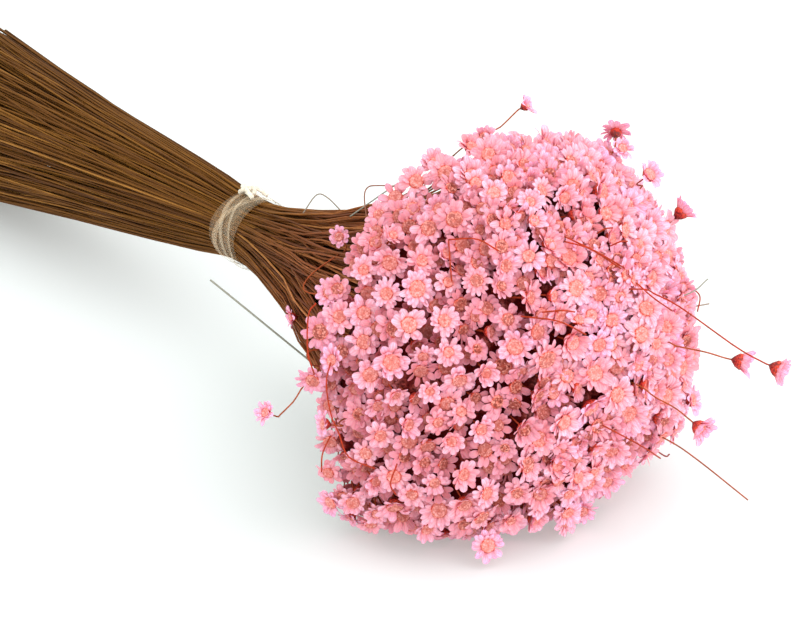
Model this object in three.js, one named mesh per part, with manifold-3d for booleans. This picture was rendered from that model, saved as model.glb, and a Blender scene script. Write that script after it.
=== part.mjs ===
// A tied bunch of dried glixia, lying on its side. A dome of small pink heads is at the +X end, the stems run
// together at the tie and spread again in a tail at the -X end.
import * as THREE from 'three';
import { ConvexHull } from 'three/addons/math/ConvexHull.js';
import { mergeVertices } from 'three/addons/utils/BufferGeometryUtils.js';
import Module from 'manifold-3d';

const wasm = await Module();
wasm.setup();

// Sizes in millimetres. The stems run along X, with their middle at y = 0 and the table at z = 0. The waist
// is just in front of x = 0. "Around" is an angle about the X axis, 0 at the top and growing towards +Y.
const AXIS_HEIGHT = 48.2;
const TAIL_SAG = 0.05;
const CLEARANCE = 0.2;

// The dome of heads is two half ellipsoids round its centre, long in front and short behind, which nod down
// and turn to +Y. Its own frame has the dome's axis along +X. The table presses it flat below.
const DOME_CENTRE = new THREE.Vector3(153.3, 3, 47.8);
const DOME_TURN = THREE.MathUtils.degToRad(9.3);
const DOME_NOD = THREE.MathUtils.degToRad(4.7);
const DOME_RADIUS = 72;
const DOME_FRONT = 59.5;
const DOME_BACK = 35;
const DOME_END = THREE.MathUtils.degToRad(104);
const DOME_SWELL = 1.6;
const PRESSED_DEPTH = 49.6;
const PRESSING_POWER = 6;
const ROOT_SHARE = 0.86;

const BLOOM_COUNT = 372;
const BLOOM_RADIUS_LEAST = 4.3;
const BLOOM_RADIUS_SPREAD = 2.2;
const SIX_PETAL_RADIUS = 5;
const BLOOM_SINK_SHARE = 0.05;
const BLOOM_SCATTER = 1.7;
const BLOOM_LEAN = 0.24;
const BLOOM_EDGE = 1.9;
const BLOOM_GAP = 0.04;
const NEIGHBOUR_REACH = 18;
const ROOT_RADIUS = 0.9;
const NOTCH_RADIUS_SHARE = 0.66;
const NOTCH_DROP_SHARE = 0.3;
const TIP_DROP_SHARE = 0.1;
const DISC_RISE_SHARE = 0.12;
const GOLDEN_ANGLE = Math.PI * (3 - Math.sqrt(5));

// Edges between the clusters of heads, as angles off the dome's axis.
const CROWN_EDGE = THREE.MathUtils.degToRad(21.5);
const MIDDLE_EDGE = THREE.MathUtils.degToRad(55);
const MIDDLE_CLUSTERS = 6;
const RIM_CLUSTERS = 12;

// The back of the heads, and the front of the stems that reach up to it, as [radius, x] outlines in the
// dome's own frame.
const PLATE_BACK = [[0, 13], [21.4, 13], [52, -4]];
const PLATE_THICKNESS = 3;
const PLATE_BOTTOM = 37;
const STEM_FRONT = [[0, 12.6], [18, 12.6], [45, -1.6], [56, -13.5]];
const UNDERCUT_ANGLE = THREE.MathUtils.degToRad(41.7);
const UNDERCUT_DISTANCE = 20.9;

// Outer radius of the gathered stems along the bunch, from the cut ends to the underside of the heads.
const STEM_PROFILE = [
  [-276, 43.4], [-200, 33.8], [-130, 26], [-60, 19.4], [-24, 15.6], [1, 12.2], [21, 12.2],
  [42, 16.5], [74, 24.4], [104, 36.5], [132, 48], [172, 53],
];
const STEM_LOCKS = 12;
const RIDGES_PER_LOCK = 4;
const RIDGE_DEPTH = 0.07;
const RIDGE_UNEVENNESS = 0.00045;
const LOCK_INNER_MARGIN = 0.3;
const RAGGED_LENGTH = 9;
const TAIL_PRESSED_BELOW = 3.5;
const NECK_PRESSED_DEPTH = 36;
const STRAY_STEM_RADIUS = 0.65;

const TIE_MIDDLE = 11;
const TIE_WIDTH = 18;
const TIE_THICKNESS = 1;
const TIE_RADIUS = 12.8;
const TIE_SIDES = 15;
const TIE_TURNS = 4;
const GROOVE_SHARE = 0.25;
const CROSSING_TURN_ANGLE = THREE.MathUtils.degToRad(13);
const CROSSING_TURN_WIDTH = 4;
const CROSSING_TURN_RISE = 0.6;
const KNOT_RADIUS = 3.2;
const KNOT_SCALE = [1.3, 0.8, 0.7];
const KNOT_PLACE = [-4.5, 0, TIE_RADIUS + TIE_THICKNESS + 0.8];

// Stems that stand out of the dome, in its own frame, and their heads' radii where they have one.
const DOME_STRAYS = [
  { radius: 4.6, points: [[-3, 7.5, 67.5], [-4.5, 11, 71.5], [-4.3, 13, 74.5]] },
  { radius: 4.4, points: [[6.5, 35, 59], [7.4, 38.2, 63.4], [7.9, 40.5, 66.5]] },
  { radius: 4.2, points: [[31, 41, 40], [32.5, 46, 46]] },
  { radius: 4.4, points: [[48.8, 7, 33], [55, 9.5, 35], [63, 12, 33], [77, 16, 27.6], [91.5, 21, 23]] },
  { radius: 4.4, points: [[53.5, 17.5, 17.5], [64.5, 21, 17.5], [75, 26, 17.5]] },
  { radius: 4.8, points: [[56.5, 2.5, 8.5], [66.5, 5, 7.5], [79, 6.3, 3]] },
  { radius: 4.2, points: [[39.5, -36, -30], [42.8, -38.6, -37.2]] },
  { radius: 4.4, points: [[-2, -66, -3], [-8, -72.5, -4], [-12, -77.5, -4.5]] },
  { points: [[49, 29, -19.5], [58.5, 33.2, -23.7], [75.5, 39.3, -32.7]] },
  { points: [[39, 44.5, 21], [40.8, 52, 25]] },
];
const STRAY_START_SHARE = 0.95;
const STRAY_HEAD_DEPTH_SHARE = 0.9;

// Stems and small heads that stand out of the neck, measured from the middle of the stems at x = 0. The first
// point is inside the stems.
const NECK_STRAYS = [
  { radius: 3, points: [[116, -26, 28], [119, -30.5, 33.5]] },
  { radius: 3, points: [[82, -7, -22], [76, -8, -27.5]] },
  { points: [[106, -16, -24], [80, -17.5, -26], [45, -16.5, -22], [2, -13, -17]] },
];

const PINK = [0xd8a09c, 0xcf938f, 0xe0aba3, 0xc98d92];
const STEM_BROWN = [0x8a5f33, 0x7b5230, 0x946a3a, 0x6f4a2e];
const TIE_WHITE = 0xd9d2c6;

const domePlace = new THREE.Matrix4()
  .makeRotationFromEuler(new THREE.Euler(0, DOME_NOD, DOME_TURN, 'ZYX'))
  .setPosition(DOME_CENTRE);
const domeDown = new THREE.Vector3(0, 0, -1).transformDirection(domePlace.clone().invert());

// Gives a function that returns the next of a seeded row of numbers from 0 to 1.
function seededRandom(seed) {
  let state = seed;
  return () => {
    state = (Math.imul(state, 1664525) + 1013904223) >>> 0;
    return state / 4294967296;
  };
}

// Gives the direction square to the X axis at an angle around it.
function outward(around) {
  return new THREE.Vector3(0, Math.sin(around), Math.cos(around));
}

// Gives the direction square to any axis at an angle round it.
function square(axis, angle) {
  const u = new THREE.Vector3().crossVectors(axis, new THREE.Vector3(0.3, 0.5, 0.81)).normalize();
  const v = new THREE.Vector3().crossVectors(axis, u);
  return u.multiplyScalar(Math.cos(angle)).addScaledVector(v, Math.sin(angle));
}

// Turns a closed three.js geometry into a solid.
function solidOf(geometry) {
  const bare = geometry.clone();
  bare.deleteAttribute('normal');
  bare.deleteAttribute('uv');
  const merged = mergeVertices(bare, 1e-4);
  return new wasm.Manifold(new wasm.Mesh({
    numProp: 3,
    vertProperties: new Float32Array(merged.attributes.position.array),
    triVerts: new Uint32Array(merged.index.array),
  }));
}

// Turns a solid back into a geometry with plain facets.
function geometryOf(solid) {
  const mesh = solid.getMesh();
  const geometry = new THREE.BufferGeometry();
  geometry.setAttribute('position', new THREE.BufferAttribute(new Float32Array(mesh.vertProperties), 3));
  geometry.setIndex(new THREE.BufferAttribute(new Uint32Array(mesh.triVerts), 1));
  geometry.computeVertexNormals();
  return geometry;
}

// Makes a solid from its corners and its triangles.
function solidFrom(corners, triangles) {
  const geometry = new THREE.BufferGeometry();
  geometry.setAttribute('position', new THREE.Float32BufferAttribute(corners.flatMap((p) => p.toArray()), 3));
  geometry.setIndex(triangles.flat());
  return solidOf(geometry);
}

// Revolves an outline of [radius, x] points about the X axis.
function revolve(outline, segments) {
  const points = outline.map(([radius, x]) => new THREE.Vector2(radius, x));
  return solidOf(new THREE.LatheGeometry(points, segments).rotateZ(-Math.PI / 2));
}

// How far out a point of the dome's frame lies, as a share of the dome's size on that side, and the dome's
// normal on that side. The flat underside blends into the ellipsoids.
function domeGauge(point) {
  const length = point.x > 0 ? DOME_FRONT : DOME_BACK;
  const round = Math.hypot(point.x / length, point.y / DOME_RADIUS, point.z / DOME_RADIUS);
  const pressed = Math.max(0, point.dot(domeDown) / PRESSED_DEPTH);
  const normal = new THREE.Vector3(
    point.x / length ** 2,
    point.y / DOME_RADIUS ** 2,
    point.z / DOME_RADIUS ** 2,
  )
    .multiplyScalar(round ** (PRESSING_POWER - 2))
    .addScaledVector(domeDown, pressed ** (PRESSING_POWER - 1) / PRESSED_DEPTH)
    .normalize();
  return { reach: (round ** PRESSING_POWER + pressed ** PRESSING_POWER) ** (1 / PRESSING_POWER), normal };
}

// The surface of heads at an angle off the dome's axis and an angle around it, with slow swells.
function domePoint(polar, around) {
  const length = polar < Math.PI / 2 ? DOME_FRONT : DOME_BACK;
  const point = outward(around).multiplyScalar(DOME_RADIUS * Math.sin(polar));
  point.x = length * Math.cos(polar);
  const { reach, normal } = domeGauge(point);
  const swell = DOME_SWELL * Math.sin(3 * around + 0.8) * Math.sin(2 * polar + 0.5 * Math.sin(2 * around));
  return { point: point.divideScalar(reach).addScaledVector(normal, swell), normal };
}

// The root below a point, on a smooth smaller dome, and that dome's normal there.
function rootUnder(point) {
  const { reach, normal } = domeGauge(point);
  return { root: point.clone().multiplyScalar(ROOT_SHARE / reach), rootNormal: normal };
}

// Spreads angles off the axis so that each bloom has the same share of the dome's surface.
function evenPolarAngles(count) {
  const steps = 400;
  const areas = [0];
  let last = domePoint(0, 0).point;
  for (let i = 1; i <= steps; i += 1) {
    const next = domePoint((DOME_END * i) / steps, 0).point;
    areas.push(areas[i - 1] + ((last.z + next.z) / 2) * last.distanceTo(next));
    last = next;
  }
  let step = 0;
  return Array.from({ length: count }, (_, i) => {
    const wanted = (areas[steps] * (i + 0.5)) / count;
    while (areas[step + 1] < wanted) step += 1;
    return (DOME_END * (step + (wanted - areas[step]) / (areas[step + 1] - areas[step]))) / steps;
  });
}

// A cluster is the part of the dome inside a few planes through its centre. Their normals point inwards.
function clusterCells() {
  const edgePlane = (polar, around) => new THREE.Vector3(-Math.sin(polar), 0, 0)
    .addScaledVector(outward(around), Math.cos(polar));
  const sidePlanes = (around, halfWidth) => [
    outward(around - halfWidth + Math.PI / 2),
    outward(around + halfWidth - Math.PI / 2),
  ];
  const step = (2 * Math.PI) / MIDDLE_CLUSTERS;
  const crown = Array.from({ length: MIDDLE_CLUSTERS }, (_, i) => edgePlane(CROWN_EDGE, i * step).negate());
  const cells = [{ name: 'crown_heads', planes: crown }];
  for (let i = 0; i < MIDDLE_CLUSTERS; i += 1) {
    cells.push({
      name: `middle_heads_${i + 1}`,
      planes: [
        ...sidePlanes(i * step, step / 2),
        edgePlane(CROWN_EDGE, i * step),
        edgePlane(MIDDLE_EDGE, i * step).negate(),
      ],
    });
  }
  for (let i = 0; i < RIM_CLUSTERS; i += 1) {
    const middle = Math.floor(i / 2) * step;
    const around = middle + (i % 2 === 0 ? -step / 4 : step / 4);
    cells.push({
      name: `rim_heads_${i + 1}`,
      planes: [...sidePlanes(around, step / 4), edgePlane(MIDDLE_EDGE, middle)],
    });
  }
  return cells;
}

// The plane through the dome's centre that runs midway between two points, with its normal towards the first.
function planeBetween(point, other) {
  const middle = point.clone().add(other).normalize();
  const across = point.clone().sub(other);
  return across.addScaledVector(middle, -across.dot(middle)).normalize();
}

// Places the blooms: a spiral with a seeded scatter, at slightly different depths. Each has planes that fence
// it off from its neighbours and from the next cluster.
function placeBlooms(cells) {
  const random = seededRandom(2024);
  const blooms = evenPolarAngles(BLOOM_COUNT).map((evenPolar, i) => {
    const offAxis = Math.max(DOME_RADIUS * Math.sin(evenPolar), BLOOM_SCATTER);
    const polar = Math.abs(evenPolar + (BLOOM_SCATTER * (2 * random() - 1)) / DOME_RADIUS);
    const around = i * GOLDEN_ANGLE + (BLOOM_SCATTER * (2 * random() - 1)) / offAxis;
    const { point, normal } = domePoint(Math.min(polar, DOME_END), around);
    const rooms = cells.map((cell) => Math.min(...cell.planes.map((plane) => plane.dot(point))));
    const cell = cells[rooms.indexOf(Math.max(...rooms))];
    for (const plane of cell.planes) {
      point.addScaledVector(plane, Math.max(0, BLOOM_EDGE - plane.dot(point)));
    }
    const side = new THREE.Vector3().crossVectors(normal, outward(2 * Math.PI * random())).normalize();
    return {
      cell,
      surface: point,
      ...rootUnder(point),
      facing: normal.clone().applyAxisAngle(side, BLOOM_LEAN * random()),
      centre: point.clone().multiplyScalar(1 - BLOOM_SINK_SHARE * random()),
      radius: BLOOM_RADIUS_LEAST + BLOOM_RADIUS_SPREAD * random() ** 1.5,
      spin: 2 * Math.PI * random(),
    };
  });
  for (const bloom of blooms) {
    const near = blooms.filter((other) => other !== bloom
      && other.surface.distanceTo(bloom.surface) < NEIGHBOUR_REACH);
    bloom.fences = [
      ...bloom.cell.planes.map((plane) => ({ plane, gap: CLEARANCE })),
      ...near.map((other) => ({ plane: planeBetween(bloom.surface, other.surface), gap: BLOOM_GAP })),
    ];
  }
  return blooms;
}

// The skin of one head, open at its root: three corners there widen to an outline of petal tips and notches,
// and the petals rise to the disc in the middle. Tips that would leave the bloom's fences are drawn in.
function bloomSkin({ centre, root, rootNormal, facing, radius, spin, fences = [] }) {
  const petals = radius > SIX_PETAL_RADIUS ? 6 : 5;
  const drawnIn = (offset) => {
    const shares = fences.map(({ plane, gap }) => {
      const towards = -plane.dot(offset);
      return towards > 0 ? (plane.dot(centre) - gap) / towards : 1;
    });
    return centre.clone().addScaledVector(offset, Math.min(1, ...shares));
  };
  const corners = [0, 1, 2].map((i) => root.clone()
    .addScaledVector(square(rootNormal, spin + (i * 2 * Math.PI) / 3), ROOT_RADIUS));
  const outline = 2 * petals;
  for (let i = 0; i < outline; i += 1) {
    const tip = i % 2 === 0;
    const offset = square(facing, spin + (i * Math.PI) / petals)
      .multiplyScalar(tip ? radius : NOTCH_RADIUS_SHARE * radius)
      .addScaledVector(facing, -(tip ? TIP_DROP_SHARE : NOTCH_DROP_SHARE) * radius);
    corners.push(drawnIn(offset));
  }
  corners.push(centre.clone().addScaledVector(facing, DISC_RISE_SHARE * radius));
  const triangles = [];
  let stalk = 0;
  for (let i = 0; i < outline; i += 1) {
    const tip = 3 + i;
    const next = 3 + ((i + 1) % outline);
    triangles.push([stalk % 3, next, tip], [tip, next, 3 + outline]);
    if (stalk < Math.floor((3 * (i + 1)) / outline)) {
      triangles.push([stalk % 3, (stalk + 1) % 3, next]);
      stalk += 1;
    }
  }
  return { corners, triangles };
}

// One head as a closed solid.
function bloomSolid(bloom) {
  const { corners, triangles } = bloomSkin(bloom);
  return solidFrom(corners, [...triangles, [0, 2, 1]]);
}

// The backing plate of all the heads, cut off below where the dome is pressed flat.
function plateSolid() {
  const front = PLATE_BACK.map(([radius, x]) => [radius, x + PLATE_THICKNESS]).reverse();
  return revolve([...PLATE_BACK, ...front], RIM_CLUSTERS)
    .trimByPlane(domeDown.clone().negate().toArray(), -PLATE_BOTTOM);
}

// A cluster in one closed skin. The hull of its backing and of the blooms' roots is the smaller core, and
// each bloom takes the place of the hull's triangle at its root.
function clusterSolid(cell, blooms, plate) {
  const backing = cell.planes.reduce((rest, plane) => rest.trimByPlane(plane.toArray(), CLEARANCE), plate);
  const { vertProperties } = backing.getMesh();
  const corners = [];
  const owners = new Map();
  for (let i = 0; i < vertProperties.length; i += 3) {
    corners.push(new THREE.Vector3().fromArray(vertProperties, i));
    owners.set(corners.at(-1), { index: corners.length - 1 });
  }
  const triangles = [];
  for (const bloom of blooms.filter((one) => one.cell === cell)) {
    const skin = bloomSkin(bloom);
    const first = corners.length;
    skin.corners.slice(0, 3).forEach((corner, i) => owners.set(corner, { index: first + i, bloom }));
    corners.push(...skin.corners);
    triangles.push(...skin.triangles.map((triangle) => triangle.map((corner) => first + corner)));
  }
  for (const face of new ConvexHull().setFromPoints([...owners.keys()]).faces) {
    const [a, b, c] = [0, 1, 2].map((i) => owners.get(face.getEdge(i).head().point));
    const isRoot = a.bloom && a.bloom === b.bloom && a.bloom === c.bloom;
    if (!isRoot) triangles.push([a.index, b.index, c.index]);
  }
  return solidFrom(corners, triangles);
}

// A thin stem through a few points.
function rodSolid(points) {
  const path = new THREE.CatmullRomCurve3(points.map((point) => new THREE.Vector3(...point)));
  const section = new THREE.Shape([0, 1, 2, 3].map((i) => new THREE.Vector2(
    STRAY_STEM_RADIUS * Math.cos((i * Math.PI) / 2),
    STRAY_STEM_RADIUS * Math.sin((i * Math.PI) / 2),
  )));
  const steps = 2 * (points.length - 1);
  return solidOf(new THREE.ExtrudeGeometry(section, { steps, bevelEnabled: false, extrudePath: path }));
}

// The solids of one stray: its stem, and its head if it has one.
function strayParts({ points, radius }) {
  const rod = rodSolid(points);
  if (!radius) return [rod];
  const [before, end] = points.slice(-2).map((point) => new THREE.Vector3(...point));
  const facing = end.clone().sub(before).normalize();
  const root = end.clone().addScaledVector(facing, -STRAY_HEAD_DEPTH_SHARE * radius);
  return [rod, bloomSolid({ centre: end, root, rootNormal: facing, facing, radius, spin: 1 })];
}

// The strays of the dome that grow out of one cluster. Each starts inside the core, under the nearest bloom.
function straysOfCluster(cell, blooms) {
  return DOME_STRAYS.flatMap(({ points, radius }) => {
    const surface = new THREE.Vector3(...points[0]);
    if (cell.planes.some((plane) => plane.dot(surface) < 0)) return [];
    const distances = blooms.map((bloom) => (
      bloom.cell === cell ? bloom.surface.distanceTo(surface) : Infinity
    ));
    const nearest = blooms[distances.indexOf(Math.min(...distances))];
    const start = nearest.root.clone().multiplyScalar(STRAY_START_SHARE);
    return strayParts({ points: [start.toArray(), ...points], radius });
  });
}

// Height of the middle of the stems above the table: level to the tie, and sinking towards the cut ends.
function axisHeight(x) {
  return AXIS_HEIGHT + Math.min(0, TAIL_SAG * x);
}

// A point of the stems at an angle and radius round their middle. The table presses the tail flat below, and
// the heads keep the flaring neck up.
function stemPoint(x, around, radius) {
  const point = outward(around).multiplyScalar(radius);
  const floor = x < 0 ? axisHeight(x) + TAIL_PRESSED_BELOW : NECK_PRESSED_DEPTH;
  const pressed = Math.max(0, -point.z / floor);
  point.divideScalar((1 + pressed ** PRESSING_POWER) ** (1 / PRESSING_POWER));
  return point.add(new THREE.Vector3(x, 0, axisHeight(x)));
}

// One lock of stems: a wedge of the bundle with its stems raised as ridges, cut off raggedly at the tail.
function lockSolid(index, random) {
  const halfWidth = Math.PI / STEM_LOCKS;
  const middle = (2 * index + 1) * halfWidth;
  const inner = CLEARANCE / Math.sin(halfWidth) + LOCK_INNER_MARGIN;
  const edges = 2 * RIDGES_PER_LOCK + 1;
  const ragged = Array.from({ length: edges }, () => RAGGED_LENGTH * (2 * random() - 1));
  const unevenness = Array.from({ length: edges }, () => RIDGE_UNEVENNESS * (random() - 0.5));
  const corners = STEM_PROFILE.flatMap(([x, radius], station) => {
    const ring = [stemPoint(x, middle, inner)];
    for (let i = 0; i < edges; i += 1) {
      const around = middle - halfWidth + (2 * halfWidth * i) / (edges - 1);
      const valley = i % 2 === 0;
      const share = (valley ? 1 - RIDGE_DEPTH : 1) * (1 + unevenness[i] * Math.abs(x));
      const end = station === 0 ? ragged[i] : 0;
      const point = stemPoint(x + end, around, radius * share);
      if (i === 0) point.addScaledVector(outward(around + Math.PI / 2), CLEARANCE);
      if (i === edges - 1) point.addScaledVector(outward(around - Math.PI / 2), CLEARANCE);
      ring.push(point);
    }
    return ring;
  });
  return solidFrom(corners, sweptTriangles(STEM_PROFILE.length, edges + 1));
}

// Joins equal rings of corners into a closed skin, with a fan from each end ring's first corner.
function sweptTriangles(rings, ringSize) {
  const triangles = [];
  for (let ring = 0; ring < rings - 1; ring += 1) {
    for (let i = 0; i < ringSize; i += 1) {
      const a = ring * ringSize + i;
      const b = ring * ringSize + ((i + 1) % ringSize);
      triangles.push([a, b + ringSize, b], [a, a + ringSize, b + ringSize]);
    }
  }
  const last = (rings - 1) * ringSize;
  for (let i = 1; i < ringSize - 1; i += 1) {
    triangles.push([0, i, i + 1], [last, last + i + 1, last + i]);
  }
  return triangles;
}

// Which lock a point is in.
function lockAt([, y, z]) {
  const turns = Math.atan2(y, z) / (2 * Math.PI);
  return Math.floor((turns - Math.floor(turns)) * STEM_LOCKS);
}

// The band round the waist: turns side by side, one more across them, and the knot on top.
function tieSolid() {
  const turn = TIE_WIDTH / TIE_TURNS;
  const outer = TIE_RADIUS + TIE_THICKNESS;
  const outline = [[TIE_RADIUS, -TIE_WIDTH / 2]];
  for (let i = 0; i < TIE_TURNS; i += 1) {
    const start = -TIE_WIDTH / 2 + i * turn;
    const dip = i < TIE_TURNS - 1 ? TIE_THICKNESS / 2 : 0;
    outline.push(
      [outer, start + turn * GROOVE_SHARE],
      [outer, start + turn * (1 - GROOVE_SHARE)],
      [TIE_RADIUS + dip, start + turn],
    );
  }
  outline.push(outline[0]);
  const below = TIE_RADIUS + TIE_THICKNESS / 3;
  const above = outer + CROSSING_TURN_RISE;
  const side = CROSSING_TURN_WIDTH / 2;
  const across = [[below, -side], [above, -0.8 * side], [above, 0.8 * side], [below, side], [below, -side]];
  const knot = new THREE.SphereGeometry(KNOT_RADIUS, 7, 5).scale(...KNOT_SCALE).translate(...KNOT_PLACE);
  return revolve(outline, TIE_SIDES)
    .add(revolve(across, TIE_SIDES).rotate([0, 0, THREE.MathUtils.radToDeg(CROSSING_TURN_ANGLE)]))
    .add(solidOf(knot));
}

function namedMesh(name, solid, color, roughness) {
  const mesh = new THREE.Mesh(
    geometryOf(solid),
    new THREE.MeshStandardMaterial({ color, roughness, metalness: 0 }),
  );
  mesh.name = name;
  return mesh;
}

// The clusters of heads in the dome's own frame, cut off level with the table.
function headMeshes() {
  const cells = clusterCells();
  const blooms = placeBlooms(cells);
  const plate = plateSolid();
  const up = domeDown.clone().negate().toArray();
  return cells.map((cell, i) => {
    const solid = wasm.Manifold.union([clusterSolid(cell, blooms, plate), ...straysOfCluster(cell, blooms)]);
    return namedMesh(cell.name, solid.trimByPlane(up, -DOME_CENTRE.z), PINK[i % PINK.length], 0.85);
  });
}

// The locks of stems, cut off in front where the heads begin, slantwise under the lowest heads, and below
// level with the table.
function stemMeshes() {
  const random = seededRandom(77);
  const undercut = new THREE.Vector3(-Math.cos(UNDERCUT_ANGLE), 0, 0)
    .addScaledVector(domeDown, -Math.sin(UNDERCUT_ANGLE))
    .transformDirection(domePlace);
  const undercutOffset = undercut.dot(DOME_CENTRE) - UNDERCUT_DISTANCE;
  const inFront = revolve([
    ...STEM_FRONT,
    [DOME_RADIUS, STEM_FRONT.at(-1)[1]],
    [DOME_RADIUS, DOME_FRONT],
    [0, DOME_FRONT],
  ], STEM_LOCKS).transform(domePlace.elements);
  return Array.from({ length: STEM_LOCKS }, (_, i) => {
    const strays = NECK_STRAYS.filter(({ points }) => lockAt(points[0]) === i)
      .flatMap(strayParts)
      .map((solid) => solid.translate([0, 0, AXIS_HEIGHT]));
    const lock = lockSolid(i, random).subtract(inFront).trimByPlane(undercut.toArray(), undercutOffset);
    const solid = wasm.Manifold.union([lock, ...strays]);
    const color = STEM_BROWN[i % STEM_BROWN.length];
    return namedMesh(`stem_lock_${i + 1}`, solid.trimByPlane([0, 0, 1], 0), color, 0.9);
  });
}

const dome = new THREE.Group();
dome.position.copy(DOME_CENTRE);
dome.rotation.set(0, DOME_NOD, DOME_TURN, 'ZYX');
dome.add(...headMeshes());

const tie = namedMesh('tie_band', tieSolid(), TIE_WHITE, 0.4);
tie.position.set(TIE_MIDDLE, 0, AXIS_HEIGHT);

// The whole bunch is moved so that its origin is at the middle of its box, on the table.
const part = new THREE.Group();
const bunch = new THREE.Group();
bunch.add(dome, ...stemMeshes(), tie);
part.add(bunch);
const middle = new THREE.Box3().setFromObject(part, true).getCenter(new THREE.Vector3());
bunch.position.set(-middle.x, -middle.y, 0);

export default part;
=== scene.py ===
"""A tied bunch of dried glixia: several hundred small pink daisy heads on thin brown stems, and a band."""

import bpy
import numpy as np
from mathutils import Matrix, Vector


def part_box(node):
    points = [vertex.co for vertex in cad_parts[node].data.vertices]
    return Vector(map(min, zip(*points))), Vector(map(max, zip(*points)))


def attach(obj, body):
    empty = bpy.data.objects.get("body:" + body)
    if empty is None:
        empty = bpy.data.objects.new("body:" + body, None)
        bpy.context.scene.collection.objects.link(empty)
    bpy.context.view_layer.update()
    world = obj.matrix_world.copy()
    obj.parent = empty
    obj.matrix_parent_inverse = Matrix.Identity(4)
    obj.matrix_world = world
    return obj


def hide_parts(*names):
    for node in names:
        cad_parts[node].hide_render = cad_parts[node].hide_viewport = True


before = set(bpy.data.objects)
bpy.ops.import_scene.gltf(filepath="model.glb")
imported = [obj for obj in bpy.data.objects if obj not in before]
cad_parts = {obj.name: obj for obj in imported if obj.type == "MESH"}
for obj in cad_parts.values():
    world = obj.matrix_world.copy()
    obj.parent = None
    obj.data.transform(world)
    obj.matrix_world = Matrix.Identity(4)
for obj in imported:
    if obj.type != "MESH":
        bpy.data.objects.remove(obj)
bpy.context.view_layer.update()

# Sizes are in millimetres, until a mesh is made. The stems run along X, with their middle at y = 0 and the
# table at z = 0. The waist is just in front of x = 0. "Around" is an angle about the X axis, 0 at the top
# and growing towards +Y.
BAND_MIDDLE = 11.0
BAND_WIDTH = 18.0
AXIS_HEIGHT = 48.2
TAIL_SAG = 0.05
TABLE_SOFTNESS = 0.8

# The dome of heads: two half ellipsoids round its centre, which nod down and turn to +Y, pressed flat below.
DOME_CENTRE = np.array([153.6, 2.8, 46.7])
DOME_TURN = np.radians(9.3)
DOME_NOD = np.radians(4.7)
DOME_RADIUS = 72.0
DOME_WIDTH_SHARE = 0.97
DOME_FRONT = 59.5
DOME_BACK = 35.0
DOME_END = np.radians(104)
AREA_STEPS = 401
DOME_SWELL = 1.6
SWELL_WAVES = 3
SWELL_PHASE = 0.8
SWELL_TWIST = 0.5
PRESSED_DEPTH = 48.6
PRESSING_POWER = 6
# Where the heads stand less far out, or further: degrees off the dome's axis, degrees around it, width in
# degrees, and depth.
DOME_DENTS = [
    (92, 272, 13, 5.4), (90, 256, 14, 7), (43, 145, 22, 6), (19, 168, 12, 4), (95, 341, 10, 6),
    (89, 8, 13, 6.2), (40, 49, 10, 7.6), (62, 34, 14, 4), (104, 321, 9, -3), (80, 236, 10, -3),
    (36, 186, 8, -4),
]

# The outer heads, on a spiral with a seeded scatter. The power makes large heads and far leans rare. A few
# are tipped over far enough to show their cups.
BLOOM_SEED = 2024
BLOOM_COUNT = 372
BLOOM_RADIUS_LEAST = 4.4
BLOOM_RADIUS_SPREAD = 2.3
BLOOM_SINK_SHARE = 0.07
BLOOM_SCATTER = 1.7
BLOOM_LEAN_LEAST = 0.08
BLOOM_LEAN = 0.5
BLOOM_RARITY = 1.5
BLOOM_STRAYING = 0.5
HEADS_PULL = np.array([1.0, -0.2, 0.1])
LEAST_SHARE = 0.84
SMALLER_FROM = 10.5
SMALLEST_AFTER = 35.0
TIPPED_SHARE = 0.012
TIPPED_LEAN_LEAST = 0.7
TIPPED_LEAN = 0.5
TIPPED_WITHIN = 35.0
GOLDEN_ANGLE = np.pi * (3 - np.sqrt(5))

# Tints, petals and ages of the heads, drawn from one seed. Past y = -25 on the -Y side more heads are old,
# and all are less lilac and a little mauve: partly older heads, partly painted shade for that side.
DRESSING_SEED = 87
AGED_AND_SHADED_SIDE = -25.0
AGED_AND_SHADED_TINT = 0.7
AGED_AND_SHADED_LEAST = 0.2
OLD_SHARE = 0.1
OLD_LOWER_SHARE = 0.25
OLD_AND_SHADED_SHARE_MORE = 0.4
OLD_LEAST = 0.3
OLD_SPREAD = 0.65
OLD_RARITY = 1.3
BROAD_SHARE = 0.2
BROAD_SIDE = 90.0
BROAD_LIMITS = (0.08, 0.9)
FINEST_SHARE = 0.4
DISC_LEAST = 0.84
DISC_SPREAD = 0.32
OPEN_USUAL = 0.72
OPEN_SPREAD = 0.3
OPEN_LIMITS = (0.05, 1.25)
SMALL_STRAY = 4.2

# The lower heads, in the gaps between the outer ones: the widest gaps first, with the shallowest heads.
# In the dome's shade, at -Y and below, they stand further apart and deeper.
FILLER_SEED = 511
FILLER_TRIES = 2100
FILLER_COUNT = 490
FILLER_RADIUS_LEAST = 4.2
FILLER_RADIUS_SPREAD = 1.0
FILLER_LEAN = 0.7
FILLER_SPACING = 3.8
FILLER_SINK_LEAST = 0.7
FILLER_SINK_MOST = 5.0
SHADE_SIDE = -30.0
SHADE_BELOW = -26.0
SHADED_SPACING = 5.2
SHADED_SINK = 3.6
# How much painted shade darkens them: the least, and what their rank adds.
LIT_DEPTH = (0.1, 0.42)
SHADED_DEPTH = (0.45, 0.5)
# Where their spiral starts, and how much of an outer head's radius counts as taken.
FILLER_TURN = 1.0
ROOM_SHARE = 0.55

# The layer of old cups below them, painted dark as the shade between the heads, as a share of the dome,
# with a round bump for each cup.
PACKED_SEED = 64
PACKED_SHARE = 0.84
PACKED_START = 0.02
PACKED_END = np.radians(97)
PACKED_CUPS = 460
PACKED_ROWS = 60
PACKED_COLUMNS = 128
PACKED_SCATTER = 0.03
PACKED_TURN_SCATTER = 0.1
CUP_BUMP_RADIUS = 3.9
CUP_BUMP_HEIGHT = 2.4

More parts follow.
